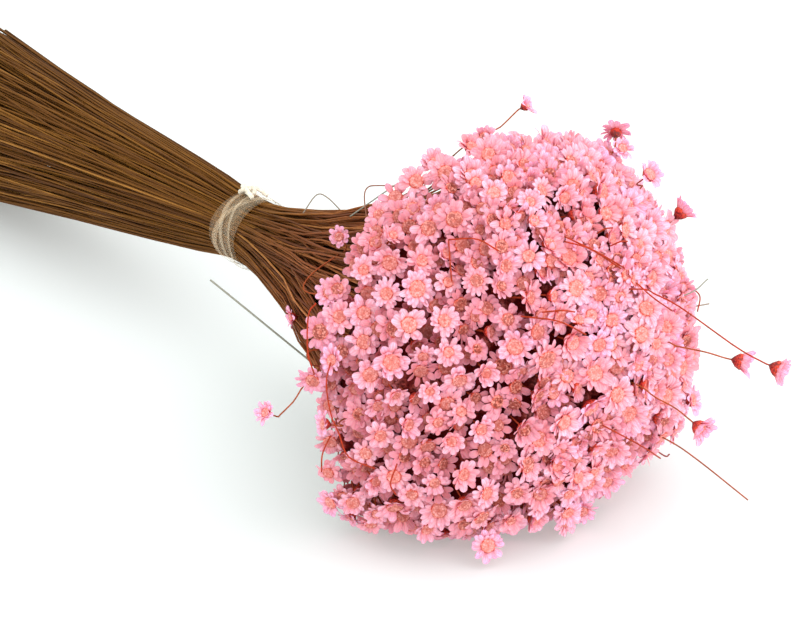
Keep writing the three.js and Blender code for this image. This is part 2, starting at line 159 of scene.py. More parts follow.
CROWN_EDGE = np.radians(21.5)
MIDDLE_EDGE = np.radians(55)
MIDDLE_CLUSTERS = 6
RIM_CLUSTERS = 12

# Outer radius of the gathered stems along the bunch, from the cut ends to the underside of the heads.
STEM_PROFILE = np.array([
    [-276, 43.4], [-200, 33.8], [-130, 26], [-60, 19.4], [-24, 15.6], [1, 12.2],
    [21, 12.2], [42, 16.5], [74, 24.4], [104, 36.5], [132, 48], [172, 53],
])
STEM_LOCKS = 12
STEM_RADIUS = 0.34
STEM_SIDES = 5
STEM_WANDER = 0.28
# Each stem's own shade and thickness, how all of them thin along the bunch and out to the heads, how far
# from the waist they have turned red, and how red they are where they fan out.
STEM_TINT = 0.5
STEM_TINT_SCATTER = 0.25
THICKNESS_LEAST = 0.8
THICKNESS_SPREAD = 0.4
BUNDLE_TAPER = np.array([[-276, 1.3], [0, 1.0], [92, 0.95]])
FAN_TAPER = (0.93, 0.75)
RED_FROM_LENGTH = 160.0
RED_IN_FAN = 0.6
# The stems that have lost their heads, and how far below the outer heads they end.
BARE_STEMS = 60
BARE_TURN = 2.0
BARE_SINK_LEAST = 9.0
BARE_SINK_SPREAD = 5.0
# How unevenly the stems are cut, how far below their middle they are pressed flat, and how much of the
# outline they fill.
RAGGED_LENGTH = 9.0
TAIL_PRESSED_BELOW = 3.5
NECK_PRESSED_DEPTH = 36.0
STEM_FILL = 0.985

# How far the stems' order from the middle outwards is scattered in the neck, at the waist and in the tail,
# and the power that spreads it over the bundle's radius.
NECK_ORDER = (0.1, 0.42)
WAIST_ORDER = (0.16, 0.5)
TAIL_ORDER = (0.3, 0.3)
NECK_START = 17.0
NECK_LENGTH = 60.0
TAIL_LENGTH = 150.0
TURN_SCATTER = 0.1
BUNDLE_TURN_SCATTER = 0.27
TAIL_TURN_SCATTER = 0.3
# How the last arc of a stem is drawn out along the bundle and behind the head, as shares of its length, and
# where it enters the cup, as a share of the head's radius.
BUNDLE_PULL = 0.38
CUP_PULL = 0.25
CUP_ENTRY = 0.6

# Strays of the dome, by their points in the dome's own frame: the head's middle is the last, and the way it
# faces is in the bunch's frame. "over" is the way a stem lies on the heads: degrees off the dome's axis,
# degrees around it, and height over it. Other stems start at the root's share of the way out to their first
# point.
STRAY_RADIUS = 0.24
STRAY_TINT = 0.92
STRAY_STEM_TINT = 0.6
STRAY_RED = 0.94
STRAY_STEPS = 20
STRAY_ROOT = 0.65
# Bare stems that lie over the dome's +Y side: the least and the spread of where each comes out, how far it
# swings, and its way: degrees towards the axis, share of the swing, and height.
LYING_STEMS = 4
LYING_PLACES = ((50, 45), (60, 110))
LYING_SWING = 16
LYING_WAY = [(0, 0, -2), (6, 0.5, 3.2), (13, 1, 1.5)]


def stray_head(radius, faces, opened, points, old=0.0, reach=1.5, over=()):
    """A stray with a head, whose stem turns into the head's own line at "reach" radii behind its middle."""
    return {"radius": radius, "faces": faces, "open": opened, "points": points, "old": old, "reach": reach,
            "over": over, "grey": 0.0, "thick": STRAY_RADIUS}


def bare_stray(points=(), over=(), grey=0.0, thick=STRAY_RADIUS):
    """A stray stem that has lost its head."""
    return {"radius": 0, "points": points, "over": over, "grey": grey, "thick": thick}


DOME_STRAYS = [
    stray_head(3.9, (0.62, 0.56, 0.55), 0.5, [[-10.7, 0.2, 64.9], [-8.2, 5.8, 69.6], [-5, 13.2, 76.1]],
               reach=0.9),
    stray_head(4.8, (-0.66, 0.55, 0.51), 0.85, [[9.1, 38.1, 60.6], [7.6, 40.3, 66.6]]),
    stray_head(4.6, (0.76, 0.11, 0.64), 0.35, [[21, 37.2, 51.5], [21.4, 38.7, 53.2], [21.9, 41.4, 56.7]]),
    stray_head(5.6, (0.24, 0.73, 0.64), -0.05, [[25.2, 43, 36.5], [26.5, 46.5, 39.8], [28.2, 51.2, 44.6]],
               reach=1.0),
    stray_head(5.4, (0.82, 0.49, -0.28), 0.05,
               [[56, 8.1, 37], [63.1, 11.2, 34.7], [80.2, 16.9, 27], [92.5, 22.1, 23.1]],
               reach=1.0, over=[(32, 3, -1), (31, 8, 3)]),
    stray_head(5.6, (0.76, 0.63, -0.13), -0.15,
               [[54.2, 15, 19.8], [58.7, 17.4, 19.2], [65.9, 21.6, 18.9], [75.8, 27.1, 17.9]], reach=1.0),
    stray_head(5.2, (0.93, 0.15, -0.34), 0.1,
               [[57.3, 1.1, 11.2], [64.3, 3.1, 8.9], [70.5, 5, 7.3], [79.2, 6.8, 3.6]], reach=1.0),
    stray_head(5.2, (0.88, -0.45, 0.14), 0.95, [[36.8, -33.9, -26.5], [42.6, -38.5, -35.9]]),
    stray_head(3.7, (0.16, -0.85, 0.49), 0.55,
               [[-7.6, -64, 6], [-8.9, -71, -0.5], [-10.2, -74.6, -4.1], [-13.4, -77.7, -3.8]]),
    stray_head(4.6, (0.63, -0.72, -0.28), 0.9, [[-7.1, -66.1, 15.4], [-6, -67.2, 11.7], [-4.2, -68.1, 7.2]],
               old=0.5),
    stray_head(4.8, (0.85, 0.46, 0.28), 0.6, [[42, 42, -9], [44.8, 46, -11.7]]),
    stray_head(4.7, (0.32, -0.93, -0.21), 0.8, [[0, -54, -31], [-3.9, -59.2, -35.4]]),
    stray_head(4.2, (0.26, -0.67, -0.69), 0.6, [[4, -50, -34], [1.7, -55.9, -39.1]], old=0.4),
    stray_head(4.2, (-0.19, -0.95, 0.24), 0.6, [[5, -64, -2.8], [3.8, -70.3, -2.8]]),
    stray_head(4.7, (0.61, -0.03, 0.79), 0.9, [[7.5, 34, 56], [7.9, 36.3, 60.6]]),
    stray_head(4.0, (0.78, -0.09, 0.62), 0.7, [[11, 34, 56], [12.6, 38.5, 62.9]]),
    stray_head(4.2, (0.56, -0.72, 0.41), 0.9, [[-4, -54, 30], [-7.2, -60.5, 32.2]], old=0.3),
    stray_head(5.2, (0.56, -0.78, 0.27), 0.85, [[-1, -60, 21], [-3.9, -66.2, 22.3]], old=0.8),
    stray_head(4.4, (0.28, -0.89, 0.36), 0.7, [[5, -62, 16], [3.8, -68.3, 16.9]]),
    stray_head(4.6, (0.84, -0.4, -0.36), 0.9, [[40, -1, -31], [44.6, -1, -36]]),
    bare_stray([[48.6, 29.2, -18.4], [58.1, 33.4, -22.6], [75.1, 39.5, -31.6]]),
    bare_stray([[38.5, 44.5, 22], [40.3, 52, 26]], grey=1),
    bare_stray([[31.6, 50.2, 13.1], [35.6, 60.2, 14.1]], grey=0.7),
]
DOME_STRAYS += [bare_stray(over=way) for way in (
    [(71, 322, -1), (64, 325, 3.4), (58, 327, 1.5)],
    [(71, 322, -1), (67, 318, 3.4), (63, 313, 1)],
    [(43, 317, -2), (36, 323, 3.4), (28, 330, 1)],
    [(49, 345, 0), (44, 349, 3.4), (37, 0, 1)],
    [(50, 346, 0), (43, 350, 3.8), (37, 3, 0)],
    [(47, 357, 0), (47, 358, 2.8), (47, 3, 1)],
    [(43, 0, 0), (43, 2, 2.8), (43, 7, 1)],
    [(33, 6, 1), (29, 11, 3.6), (28, 34, 1)],
    [(40, 322, 1), (37, 327, 3.4), (34, 332, 1)],
    [(100, 294, 3), (100, 291, 4), (93, 284, 4.4), (90, 279, 2)],
    [(86, 283, 1), (84, 279, 3.6), (81, 273, 4), (78, 269, 4), (75, 264, 4), (69, 261, 1)],
    [(83, 266, 1), (84, 262, 3.6), (85, 257, 4)],
    [(63, 263, 0), (64, 259, 3.6), (64, 254, 1)],
    [(10, 279, 0), (5, 174, 3.6), (19, 136, 2)],
)]

# Strays of the neck, measured from the middle of the stems at x = 0.
NECK_STRAYS = [
    stray_head(3.4, (0.72, -0.61, 0.33), 0.9, [[112, -24, 24], [120, -28, 29], [122.7, -32.1, 33.7]],
               old=0.3),
    stray_head(4.0, (-0.2, -0.95, -0.1), 0.7, [[110, -14, -6], [100, -22, -4], [91, -31.5, -2.5]], old=0.2),
    bare_stray([[89.9, -18.5, -24.3], [84.1, -23.8, -18.7], [68.4, -37.7, -3.2], [60.8, -44.5, 4.3]],
               grey=1, thick=0.36),
    bare_stray([[57.1, -6.4, 20], [58.4, -1.8, 26], [60.8, 1.3, 25], [64.8, 5.3, 19.5]], grey=0.8),
    bare_stray([[104.4, -10.7, 31], [102.5, -10.3, 37.9], [102.3, -8.8, 40.7], [103.9, -6, 41.2],
                [107.2, -1, 41]], grey=0.3),
    bare_stray([[96.6, -12.1, 30], [99.5, -5.5, 34.9], [102.4, 2.5, 40.3]], grey=1),
    bare_stray([[114.8, -27.1, 25], [117.1, -37, 22.3], [117.9, -41.8, 19.1], [119.5, -42.5, 17.1],
                [124.6, -40.5, 17.3], [132.7, -35.9, 20.1]]),
]

# Where the camera stands, which way it looks back, and its lens, for a picture 800 pixels wide.
CAMERA_PLACE = np.array([657.5, -357.2, 281.4])
CAMERA_AZIMUTH = np.radians(57)
CAMERA_ELEVATION = np.radians(19.7)
FOCAL_PIXELS = 2145
PICTURE_WIDTH = 800
SENSOR_WIDTH = 36.0

# The studio, in metres and watts. The sky's strengths and colours are those towards -X and towards +X.
FLOOR_SIZE = 4.0
KEY_PLACE = np.array([0.93, 0.33, 1.05])
KEY_TARGET = np.array([0.15, 0, 0.05])
KEY_SIZE = 0.9
KEY_POWER = 2.9
SKY_STRENGTHS = (0.86, 2.36)
SKY_COLORS = ((0.84, 1, 0.94, 1), (0.995, 0.95, 1, 1))


# Places on the bunch

band_box = np.array(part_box("tie_band"))
ORIGIN_SHIFT = np.array([
    1000 * band_box[0][0] + BAND_WIDTH / 2 - BAND_MIDDLE,
    500 * (band_box[0][1] + band_box[1][1]),
    0.0,
])


def metres(points):
    """Points in the frame's own place and in metres: millimetres plus the shift of the origin, over 1000."""
    return (points + ORIGIN_SHIFT) / 1000


def lengths(vectors):
    """Length of each vector."""
    return np.sqrt((vectors ** 2).sum(-1))


def unit(vectors):
    """Each vector divided by its length."""
    return vectors / np.maximum(lengths(vectors), 1e-9)[..., None]


def dot(a, b):
    """Sum of products along the last axis."""
    return (a * b).sum(-1)


def seeded_row(seed, count):
    """Numbers from 0 to 1: each state is the last times 1664525 plus 1013904223, kept to 32 bits."""
    states = []
    state = seed
    for _ in range(count):
        state = (state * 1664525 + 1013904223) % 2 ** 32
        states.append(state)
    return np.array(states) / 2 ** 32


def outward(around):
    """Direction square to X at an angle around it: (0, sine, cosine)."""
    around = np.asarray(around, float)
    return np.stack([np.zeros_like(around), np.sin(around), np.cos(around)], -1)


def turned(vectors, axis, angle):
    """Vectors turned about a unit axis: the vector times the cosine, plus the axis crossed with it times the
    sine, plus its part along the axis times one minus the cosine."""
    cosine = np.cos(angle)[..., None]
    sine = np.sin(angle)[..., None]
    along = dot(vectors, axis)[..., None]
    return vectors * cosine + np.cross(axis, vectors) * sine + axis * along * (1 - cosine)


DOME_AXES = np.array(Matrix.Rotation(DOME_TURN, 3, "Z") @ Matrix.Rotation(DOME_NOD, 3, "Y"))
DOME_DOWN = DOME_AXES.T @ np.array([0, 0, -1.0])


def from_dome(points):
    """Points of the dome's own frame, turned and moved to the bunch."""
    return points @ DOME_AXES.T + DOME_CENTRE


def from_neck(points):
    """Points measured from the middle of the stems at x = 0, moved to the bunch."""
    return points + [0, 0, AXIS_HEIGHT]


def turned_from_dome(vectors):
    """Directions of the dome's own frame, turned to the bunch's."""
    return vectors @ DOME_AXES.T


def dome_gauge(points):
    """Reach and normal: the sixth root of round to the sixth plus pressed to the sixth, and its gradient."""
    sizes = np.stack([
        np.where(points[..., 0] > 0, DOME_FRONT, DOME_BACK),
        np.full(points.shape[:-1], DOME_RADIUS * DOME_WIDTH_SHARE),
        np.full(points.shape[:-1], DOME_RADIUS),
    ], -1)
    round_share = lengths(points / sizes)
    pressed = np.maximum(0, points @ DOME_DOWN / PRESSED_DEPTH)
    reach = (round_share ** PRESSING_POWER + pressed ** PRESSING_POWER) ** (1 / PRESSING_POWER)
    slope = points / sizes ** 2 * round_share[..., None] ** (PRESSING_POWER - 2)
    slope = slope + DOME_DOWN * (pressed ** (PRESSING_POWER - 1) / PRESSED_DEPTH)[..., None]
    return reach, unit(slope)


def dome_surface(polar, around):
    """Surface of heads, with normals: the ellipsoid's point over its reach, plus a swell in three waves."""
    points = outward(around) * (DOME_RADIUS * np.sin(polar))[..., None] * [1, DOME_WIDTH_SHARE, 1]
    points[..., 0] = np.where(polar < np.pi / 2, DOME_FRONT, DOME_BACK) * np.cos(polar)
    reach, normals = dome_gauge(points)
    wave = np.sin(2 * polar + SWELL_TWIST * np.sin(2 * around))
    swell = DOME_SWELL * np.sin(SWELL_WAVES * around + SWELL_PHASE) * wave
    return points / reach[..., None] + normals * swell[..., None], normals


def dented(points, normals, polar, around):
    """Points drawn in by each dent: its depth times e to the power of minus the squared distance over the
    squared width."""
    for dent_polar, dent_around, width, depth in DOME_DENTS:
        aside = (np.degrees(around) - dent_around + 180) % 360 - 180
        far = (np.degrees(polar) - dent_polar) ** 2 + (aside * np.sin(polar)) ** 2
        points = points - normals * (depth * np.exp(-far / width ** 2))[:, None]
    return points


def even_polar_angles(count):
    """Angles off the dome's axis at equal steps of the area between them and the crown."""
    polar = np.linspace(0, DOME_END, AREA_STEPS)
    points = dome_surface(polar, np.zeros_like(polar))[0]
    strips = (points[1:, 2] + points[:-1, 2]) / 2 * lengths(points[1:] - points[:-1])
    areas = np.concatenate([[0], np.cumsum(strips)])
    return np.interp(areas[-1] * (np.arange(count) + 0.5) / count, areas, polar)


def cluster_of(points):
    """Number of the cluster that holds each point: 0 the crown, 1 to 6 the middle, 7 to 18 the rim."""
    polar = np.arctan2(np.hypot(points[:, 1], points[:, 2]), points[:, 0])
    turns = (np.arctan2(points[:, 1], points[:, 2]) / (2 * np.pi)) % 1
    middle = np.round(turns * MIDDLE_CLUSTERS) % MIDDLE_CLUSTERS
    side = np.floor(turns * RIM_CLUSTERS + 1) % RIM_CLUSTERS
    cluster = np.where(polar < MIDDLE_EDGE, 1 + middle, 7 + side)
    return np.where(polar < CROWN_EDGE, 0, cluster).astype(int)


def outer_heads():
    """Places of the outer heads: a golden-angle spiral over equal areas, scattered, leant and sunk by seeded
    draws. They face along the surface's normal plus one pull forwards, as their stems do, and are smaller on
    the dome's -Y side."""
    draws = seeded_row(BLOOM_SEED, 7 * BLOOM_COUNT).reshape(BLOOM_COUNT, 7)
    rng = np.random.default_rng(BLOOM_SEED)
    even = even_polar_angles(BLOOM_COUNT)
    off_axis = np.maximum(DOME_RADIUS * np.sin(even), BLOOM_SCATTER)
    polar = np.abs(even + BLOOM_SCATTER * (2 * draws[:, 0] - 1) / DOME_RADIUS)
    around = np.arange(BLOOM_COUNT) * GOLDEN_ANGLE + BLOOM_SCATTER * (2 * draws[:, 1] - 1) / off_axis
    points, normals = dome_surface(np.minimum(polar, DOME_END), around)
    points = dented(points, normals, polar, around)
    side = unit(np.cross(normals, outward(2 * np.pi * draws[:, 2])))
    tipped = (rng.random(BLOOM_COUNT) < TIPPED_SHARE) & (np.abs(points[:, 1]) < TIPPED_WITHIN)
    lean = BLOOM_LEAN_LEAST + BLOOM_LEAN * draws[:, 3] ** BLOOM_RARITY
    lean = lean + tipped * (TIPPED_LEAN_LEAST + TIPPED_LEAN * rng.random(BLOOM_COUNT))
    points = points + BLOOM_STRAYING * rng.standard_normal((BLOOM_COUNT, 3))
    small = 1 - (1 - LEAST_SHARE) * np.clip((-points[:, 1] - SMALLER_FROM) / SMALLEST_AFTER, 0, 1)
    return {
        "centre": points * (1 - BLOOM_SINK_SHARE * draws[:, 4])[:, None] + normals * tipped[:, None],
        "facing": turned(unit(normals + HEADS_PULL), side, lean),
        "radius": (BLOOM_RADIUS_LEAST + BLOOM_RADIUS_SPREAD * draws[:, 5] ** BLOOM_RARITY) * small,
        "spin": 2 * np.pi * draws[:, 6],
        "polar": polar,
        "around": around,
        "depth": np.zeros(BLOOM_COUNT),
    }


def filler_heads(outer):
    """Places of the lower heads: the spiral points with the most room between the outer heads, sunk by their
    rank, and fewer and deeper in the dome's shade. Their depth value is painted shade, growing with the rank
    and greater in the dome's shade."""
    rng = np.random.default_rng(FILLER_SEED)
    even = even_polar_angles(FILLER_TRIES)
    around = np.arange(FILLER_TRIES) * GOLDEN_ANGLE + FILLER_TURN
    points, normals = dome_surface(even, around)
    points = dented(points, normals, even, around)
    room = lengths(points[:, None] - outer["centre"][None]) - ROOM_SHARE * outer["radius"][None]
    shaded = (points[:, 1] < SHADE_SIDE) | (points[:, 2] < SHADE_BELOW)
    spacing = np.where(shaded, SHADED_SPACING, FILLER_SPACING)
    taken = []
    for candidate in np.argsort(-room.min(1)):
        if len(taken) == FILLER_COUNT:
            break
        if not taken or lengths(points[taken] - points[candidate]).min() > spacing[candidate]:
            taken.append(candidate)
    points, normals, shaded = points[taken], normals[taken], shaded[taken]
    count = len(taken)
    rank = np.arange(count) / count
    sink = FILLER_SINK_LEAST + (FILLER_SINK_MOST - FILLER_SINK_LEAST) * rank + rng.random(count) - 0.5
    sink = sink + SHADED_SINK * shaded
    least_depth, more_depth = np.where(shaded[:, None], SHADED_DEPTH, LIT_DEPTH).T
    side = unit(np.cross(normals, outward(2 * np.pi * rng.random(count))))
    return {
        "centre": points - normals * sink[:, None],
        "facing": turned(unit(normals + HEADS_PULL), side, FILLER_LEAN * rng.random(count)),
        "radius": FILLER_RADIUS_LEAST + FILLER_RADIUS_SPREAD * rng.random(count),
        "spin": 2 * np.pi * rng.random(count),
        "polar": even[taken],
        "around": around[taken],
        "depth": least_depth + more_depth * rank,
    }


def joined(*groups):
    """One set of heads from several."""
    return {key: np.concatenate([group[key] for group in groups]) for key in groups[0]}


# Meshes

class Stock:
    """Vertices, triangles, material numbers and vertex values of one piece, gathered part by part."""

    # The place along and across a petal or stem, its own tint, on a head its depth as painted shade and on a
    # stray its grey, and its age or cut.
    VALUES = ("along", "across", "tint", "depth", "kind")

    def __init__(self):
        self.points = []
        self.triangles = []
        self.materials = []
        self.sharps = []
        self.values = {name: [] for name in self.VALUES}
        self.count = 0

    def add(self, points, triangles, material=0, sharp=0, **values):
        """Adds a part: its points, its triangles counted from its own first point, and its vertex values."""
        places = points.shape[:-1]
        triangles = triangles.reshape(-1, 3)
        self.points.append(points.reshape(-1, 3))
        self.triangles.append(triangles + self.count)
        self.materials.append(np.broadcast_to(np.ravel(material), len(triangles)))
        self.sharps.append(np.broadcast_to(sharp, places).ravel())
        for name in self.VALUES:
            self.values[name].append(np.broadcast_to(values.get(name, 0.0), places).ravel())
        self.count += len(self.points[-1])

    def piece(self, name, materials):
        """The finished object, smooth, with edges whose two ends share a sharp mark kept sharp. What would
        reach the table is pressed flat: a low height h becomes s times e to the power of h / s - 1."""
        points = np.concatenate(self.points)
        height = points[:, 2]
        pressed = TABLE_SOFTNESS * np.exp(np.minimum(height / TABLE_SOFTNESS - 1, 0))
        points[:, 2] = np.where(height < TABLE_SOFTNESS, pressed, height)
        triangles = np.concatenate(self.triangles)
        mesh = bpy.data.meshes.new(name)
        mesh.vertices.add(len(points))
        mesh.vertices.foreach_set("co", metres(points).astype(np.float32).ravel())
        mesh.loops.add(3 * len(triangles))
        mesh.loops.foreach_set("vertex_index", triangles.astype(np.int32).ravel())
        mesh.polygons.add(len(triangles))
        mesh.polygons.foreach_set("loop_start", np.arange(0, 3 * len(triangles), 3, dtype=np.int32))
        mesh.polygons.foreach_set("material_index", np.concatenate(self.materials).astype(np.int32))
        mesh.polygons.foreach_set("use_smooth", np.ones(len(triangles), bool))
        mesh.update(calc_edges=True)
        sharps = np.concatenate(self.sharps)
        if sharps.any():
            ends = np.empty(2 * len(mesh.edges), np.int32)
            mesh.edges.foreach_get("vertices", ends)
            ends = sharps[ends.reshape(-1, 2)]
            marks = mesh.attributes.new("sharp_edge", "BOOLEAN", "EDGE")
            marks.data.foreach_set("value", (ends[:, 0] & ends[:, 1]) > 0)
        for key, parts in self.values.items():
            layer = mesh.attributes.new(key, "FLOAT", "POINT")
            layer.data.foreach_set("value", np.concatenate(parts).astype(np.float32))
        for material in materials:
            mesh.materials.append(material)
        thing = bpy.data.objects.new(name, mesh)
        bpy.context.scene.collection.objects.link(thing)
        return thing


def skin_triangles(rings, sides, looped=False):
    """Two triangles for each quad between closed rings, and between the last and the first where looped."""
    ring, side = np.meshgrid(np.arange(rings if looped else rings - 1), np.arange(sides), indexing="ij")
    here = ring * sides + side
    beside = ring * sides + (side + 1) % sides
    after, across = (here + sides) % (rings * sides), (beside + sides) % (rings * sides)
    halves = np.stack([here, beside, after], -1), np.stack([beside, across, after], -1)
    return np.concatenate(halves).reshape(-1, 3)


def fan_triangles(pole, start, sides):
    """Triangles between a pole and a closed ring of points."""
    around = np.arange(sides)
    return np.stack([np.full(sides, pole), start + around, start + (around + 1) % sides], -1)


def tube_triangles(tubes, rings, sides, pointed):
    """Triangles of closed tubes: the skin, a flat cap on the first ring, and a cap or a point at the end."""
    fan = np.arange(1, sides - 1)
    cap = np.stack([np.zeros_like(fan), fan + 1, fan], -1)
    last = (rings - 1) * sides
    end = fan_triangles(rings * sides, last, sides) if pointed else last + cap[:, ::-1]
    faces = np.concatenate([skin_triangles(rings, sides), cap, end])
    size = rings * sides + pointed
    return faces + (np.arange(tubes) * size)[:, None, None]


# A direction that no path starts along.
FRAME_HELPER = np.array([0.31, 0.52, 0.79])


def carried_frames(paths):
    """Two normals along each path: one carried on, square to each next tangent, and one square to both."""
    tangents = unit(np.gradient(paths, axis=1))
    first = unit(np.cross(tangents[:, 0], FRAME_HELPER))
    normals = [first]
    for step in range(1, paths.shape[1]):
        tangent = tangents[:, step]
        normals.append(unit(normals[-1] - tangent * dot(normals[-1], tangent)[:, None]))
    normals = np.stack(normals, 1)
    return normals, np.cross(tangents, normals)


def add_tubes(stock, paths, radii, sides, material, **values):
    """Round tubes along paths: each ring is the path's point plus a circle in its two normals."""
    first, second = carried_frames(paths)
    angles = 2 * np.pi * np.arange(sides) / sides
    circle = first[:, :, None] * np.cos(angles)[:, None] + second[:, :, None] * np.sin(angles)[:, None]
    points = paths[:, :, None] + circle * radii[:, :, None, None]
    spread = {name: np.asarray(value)[..., None] for name, value in values.items()}
    stock.add(points, tube_triangles(paths.shape[0], paths.shape[1], sides, False), material, **spread)


# Heads

# How wide a petal is along its length, as a share of its half width. The tip is a last point.
FINE_PETAL = np.array([[0.0, 0.54], [0.28, 0.88], [0.56, 1.0], [0.8, 0.86], [0.95, 0.48]])
PLAIN_PETAL = np.array([[0.0, 0.55], [0.42, 0.97], [0.72, 0.9], [0.93, 0.46]])
PETAL_THICKNESS = 0.11
PETAL_CUPPING = 0.14
PETAL_BENDING = 0.8
PETAL_NARROWING = 0.66
HEAD_DROP = 0.1
DISC_DROP = 0.06

# How widely the petals of a head differ, from one end of the range to the other.
ANGLE_SCATTER = 0.8
LENGTH_SCATTER = 0.4
ROOT_SCATTER = 0.16
TIP_SCATTER = 1.0
TWIST_SCATTER = 1.1
WIDTH_SCATTER = 0.24
TINT_SCATTER = 0.34


def petal_layer(count, start, length, width, root, tip, rows, offset=0.0):
    """A layer of petals: how many at least, where they start, their length and half width as shares of the
    head's radius, and how steeply they rise at the root and at the tip, for a closed and an open head."""
    return {"count": count, "start": start, "length": length, "width": width, "root": root, "tip": tip,
            "rows": rows, "offset": offset}


OUTER_PETALS = petal_layer(10, 0.38, 0.67, 0.245, (62, 24), (38, -20), FINE_PETAL)
INNER_PETALS = petal_layer(8, 0.37, 0.46, 0.21, (80, 48), (62, 6), PLAIN_PETAL, np.pi)
LOWER_PETALS = petal_layer(9, 0.38, 0.66, 0.24, (66, 32), (44, -6), PLAIN_PETAL)

# The profile of the disc and the cup under it, as [radius, height] shares of the head's radius.
DISC_PROFILE = np.array([[0.1, 0.04], [0.24, 0.1], [0.36, 0.11], [0.44, 0.04]])
CUP_PROFILE = np.array([[0.46, -0.06], [0.43, -0.18], [0.33, -0.32], [0.2, -0.44], [0.08, -0.54]])
CUP_POLE = -0.58
DISC_GRAIN = 0.022
CUP_SCALLOP = 0.035
HEAD_SIDES = 10
DISC_MATERIAL = 1
CUP_MATERIAL = 2


def head_axes(heads):
    """Two directions across each head and the one it faces, turned by the head's spin."""
    facing = heads["facing"]
    helper = np.where(np.abs(facing[:, :1]) < 0.8, [[1.0, 0, 0]], [[0, 1.0, 0]])
    across = unit(np.cross(helper, facing))
    other = np.cross(facing, across)
    cosine = np.cos(heads["spin"])[:, None]
    sine = np.sin(heads["spin"])[:, None]
    return across * cosine + other * sine, other * cosine - across * sine, facing


def placed(heads, local):
    """Local points of heads, in shares of the radius, turned to face outwards, scaled and moved to place."""
    shape = (len(heads["radius"]),) + (1,) * (local.ndim - 2)
    first, second, facing = (axis.reshape(shape + (3,)) for axis in head_axes(heads))
    turned_points = local[..., :1] * first + local[..., 1:2] * second + local[..., 2:] * facing
    return heads["centre"].reshape(shape + (3,)) + heads["radius"].reshape(shape + (1,)) * turned_points


def add_petals(stock, heads, layer, rng):
    """A layer of petals on each head: the layer's least count, or three or six more and narrower ones."""
    for group in range(3):
        own = chosen(heads, heads["group"] == group)
        if len(own["radius"]):
            add_even_petals(stock, own, layer, layer["count"] + 3 * group, rng)


def steepness(limits, opened):
    """An angle between its value for a closed head and its value for an open one."""
    return np.radians(limits[0] + (limits[1] - limits[0]) * opened)


def add_even_petals(stock, heads, layer, count, rng):
    """Petals: a midrib that leaves the disc steeply and bends over, with round-tipped, cupped sides."""
    size = (len(heads["radius"]), count)

    def scattered(width):
        """Seeded draws for each petal, spread evenly over a width round 0."""
        return width * (rng.random(size) - 0.5)

    angle = (2 * np.pi * (np.arange(count) + scattered(ANGLE_SCATTER)) + layer["offset"]) / count
    length = layer["length"] * (1 + scattered(LENGTH_SCATTER))
    root = steepness(layer["root"], heads["open"][:, None]) + scattered(ROOT_SCATTER)
    tip = steepness(layer["tip"], heads["open"][:, None]) + scattered(TIP_SCATTER)
    petal_rows, half_widths = layer["rows"].T
    rows = np.append(petal_rows, 1.0)
    rise = root[..., None] + (tip - root)[..., None] * rows ** PETAL_BENDING
    steps = np.diff(rows) * length[..., None]
    middle = (rise[..., 1:] + rise[..., :-1]) / 2
    none = np.zeros(size + (1,))
    start = layer["start"] * heads["disc"][:, None, None]
    out = start + np.concatenate([none, np.cumsum(steps * np.cos(middle), -1)], -1)
    up = -HEAD_DROP + np.concatenate([none, np.cumsum(steps * np.sin(middle), -1)], -1)
    radial = np.stack([np.cos(angle), np.sin(angle), np.zeros(size)], -1)[:, :, None]
    tangential = np.stack([-np.sin(angle), np.cos(angle), np.zeros(size)], -1)[:, :, None]
    facing = np.array([0, 0, 1.0])
    midrib = radial * out[..., None] + facing * up[..., None]
    normal = facing * np.cos(rise)[..., None] - radial * np.sin(rise)[..., None]
    twist = scattered(TWIST_SCATTER)[..., None, None]
    side = tangential * np.cos(twist) + normal * np.sin(twist)
    width = layer["width"] * (layer["count"] / count) ** PETAL_NARROWING * (1 + scattered(WIDTH_SCATTER))
    half = (half_widths * width[..., None])[..., None]
    cup = PETAL_CUPPING * half
    thin = PETAL_THICKNESS / 2 / heads["radius"][:, None, None, None]
    rib, rib_normal, rib_side = midrib[:, :, :-1], normal[:, :, :-1], side[:, :, :-1]
    ring = np.stack([
        rib + rib_side * half + rib_normal * cup,
        rib + rib_normal * thin,
        rib - rib_side * half + rib_normal * cup,
        rib - rib_normal * thin,
    ], 3)
    local = np.concatenate([ring.reshape(size + (-1, 3)), midrib[:, :, -1:]], 2)
    stock.add(
        placed(heads, local),
        tube_triangles(size[0] * count, len(petal_rows), 4, True),
        sharp=np.append(np.tile([1, 0, 2, 0], len(petal_rows)), 3),
        along=np.append(np.repeat(petal_rows, 4), 1.0),
        across=np.append(np.tile([1.0, 0.0, -1.0, 0.0], len(petal_rows)), 0.0),
        tint=(heads["tint"][:, None] + scattered(TINT_SCATTER))[..., None],
        depth=heads["depth"][:, None, None],
        kind=heads["kind"][:, None, None],
    )


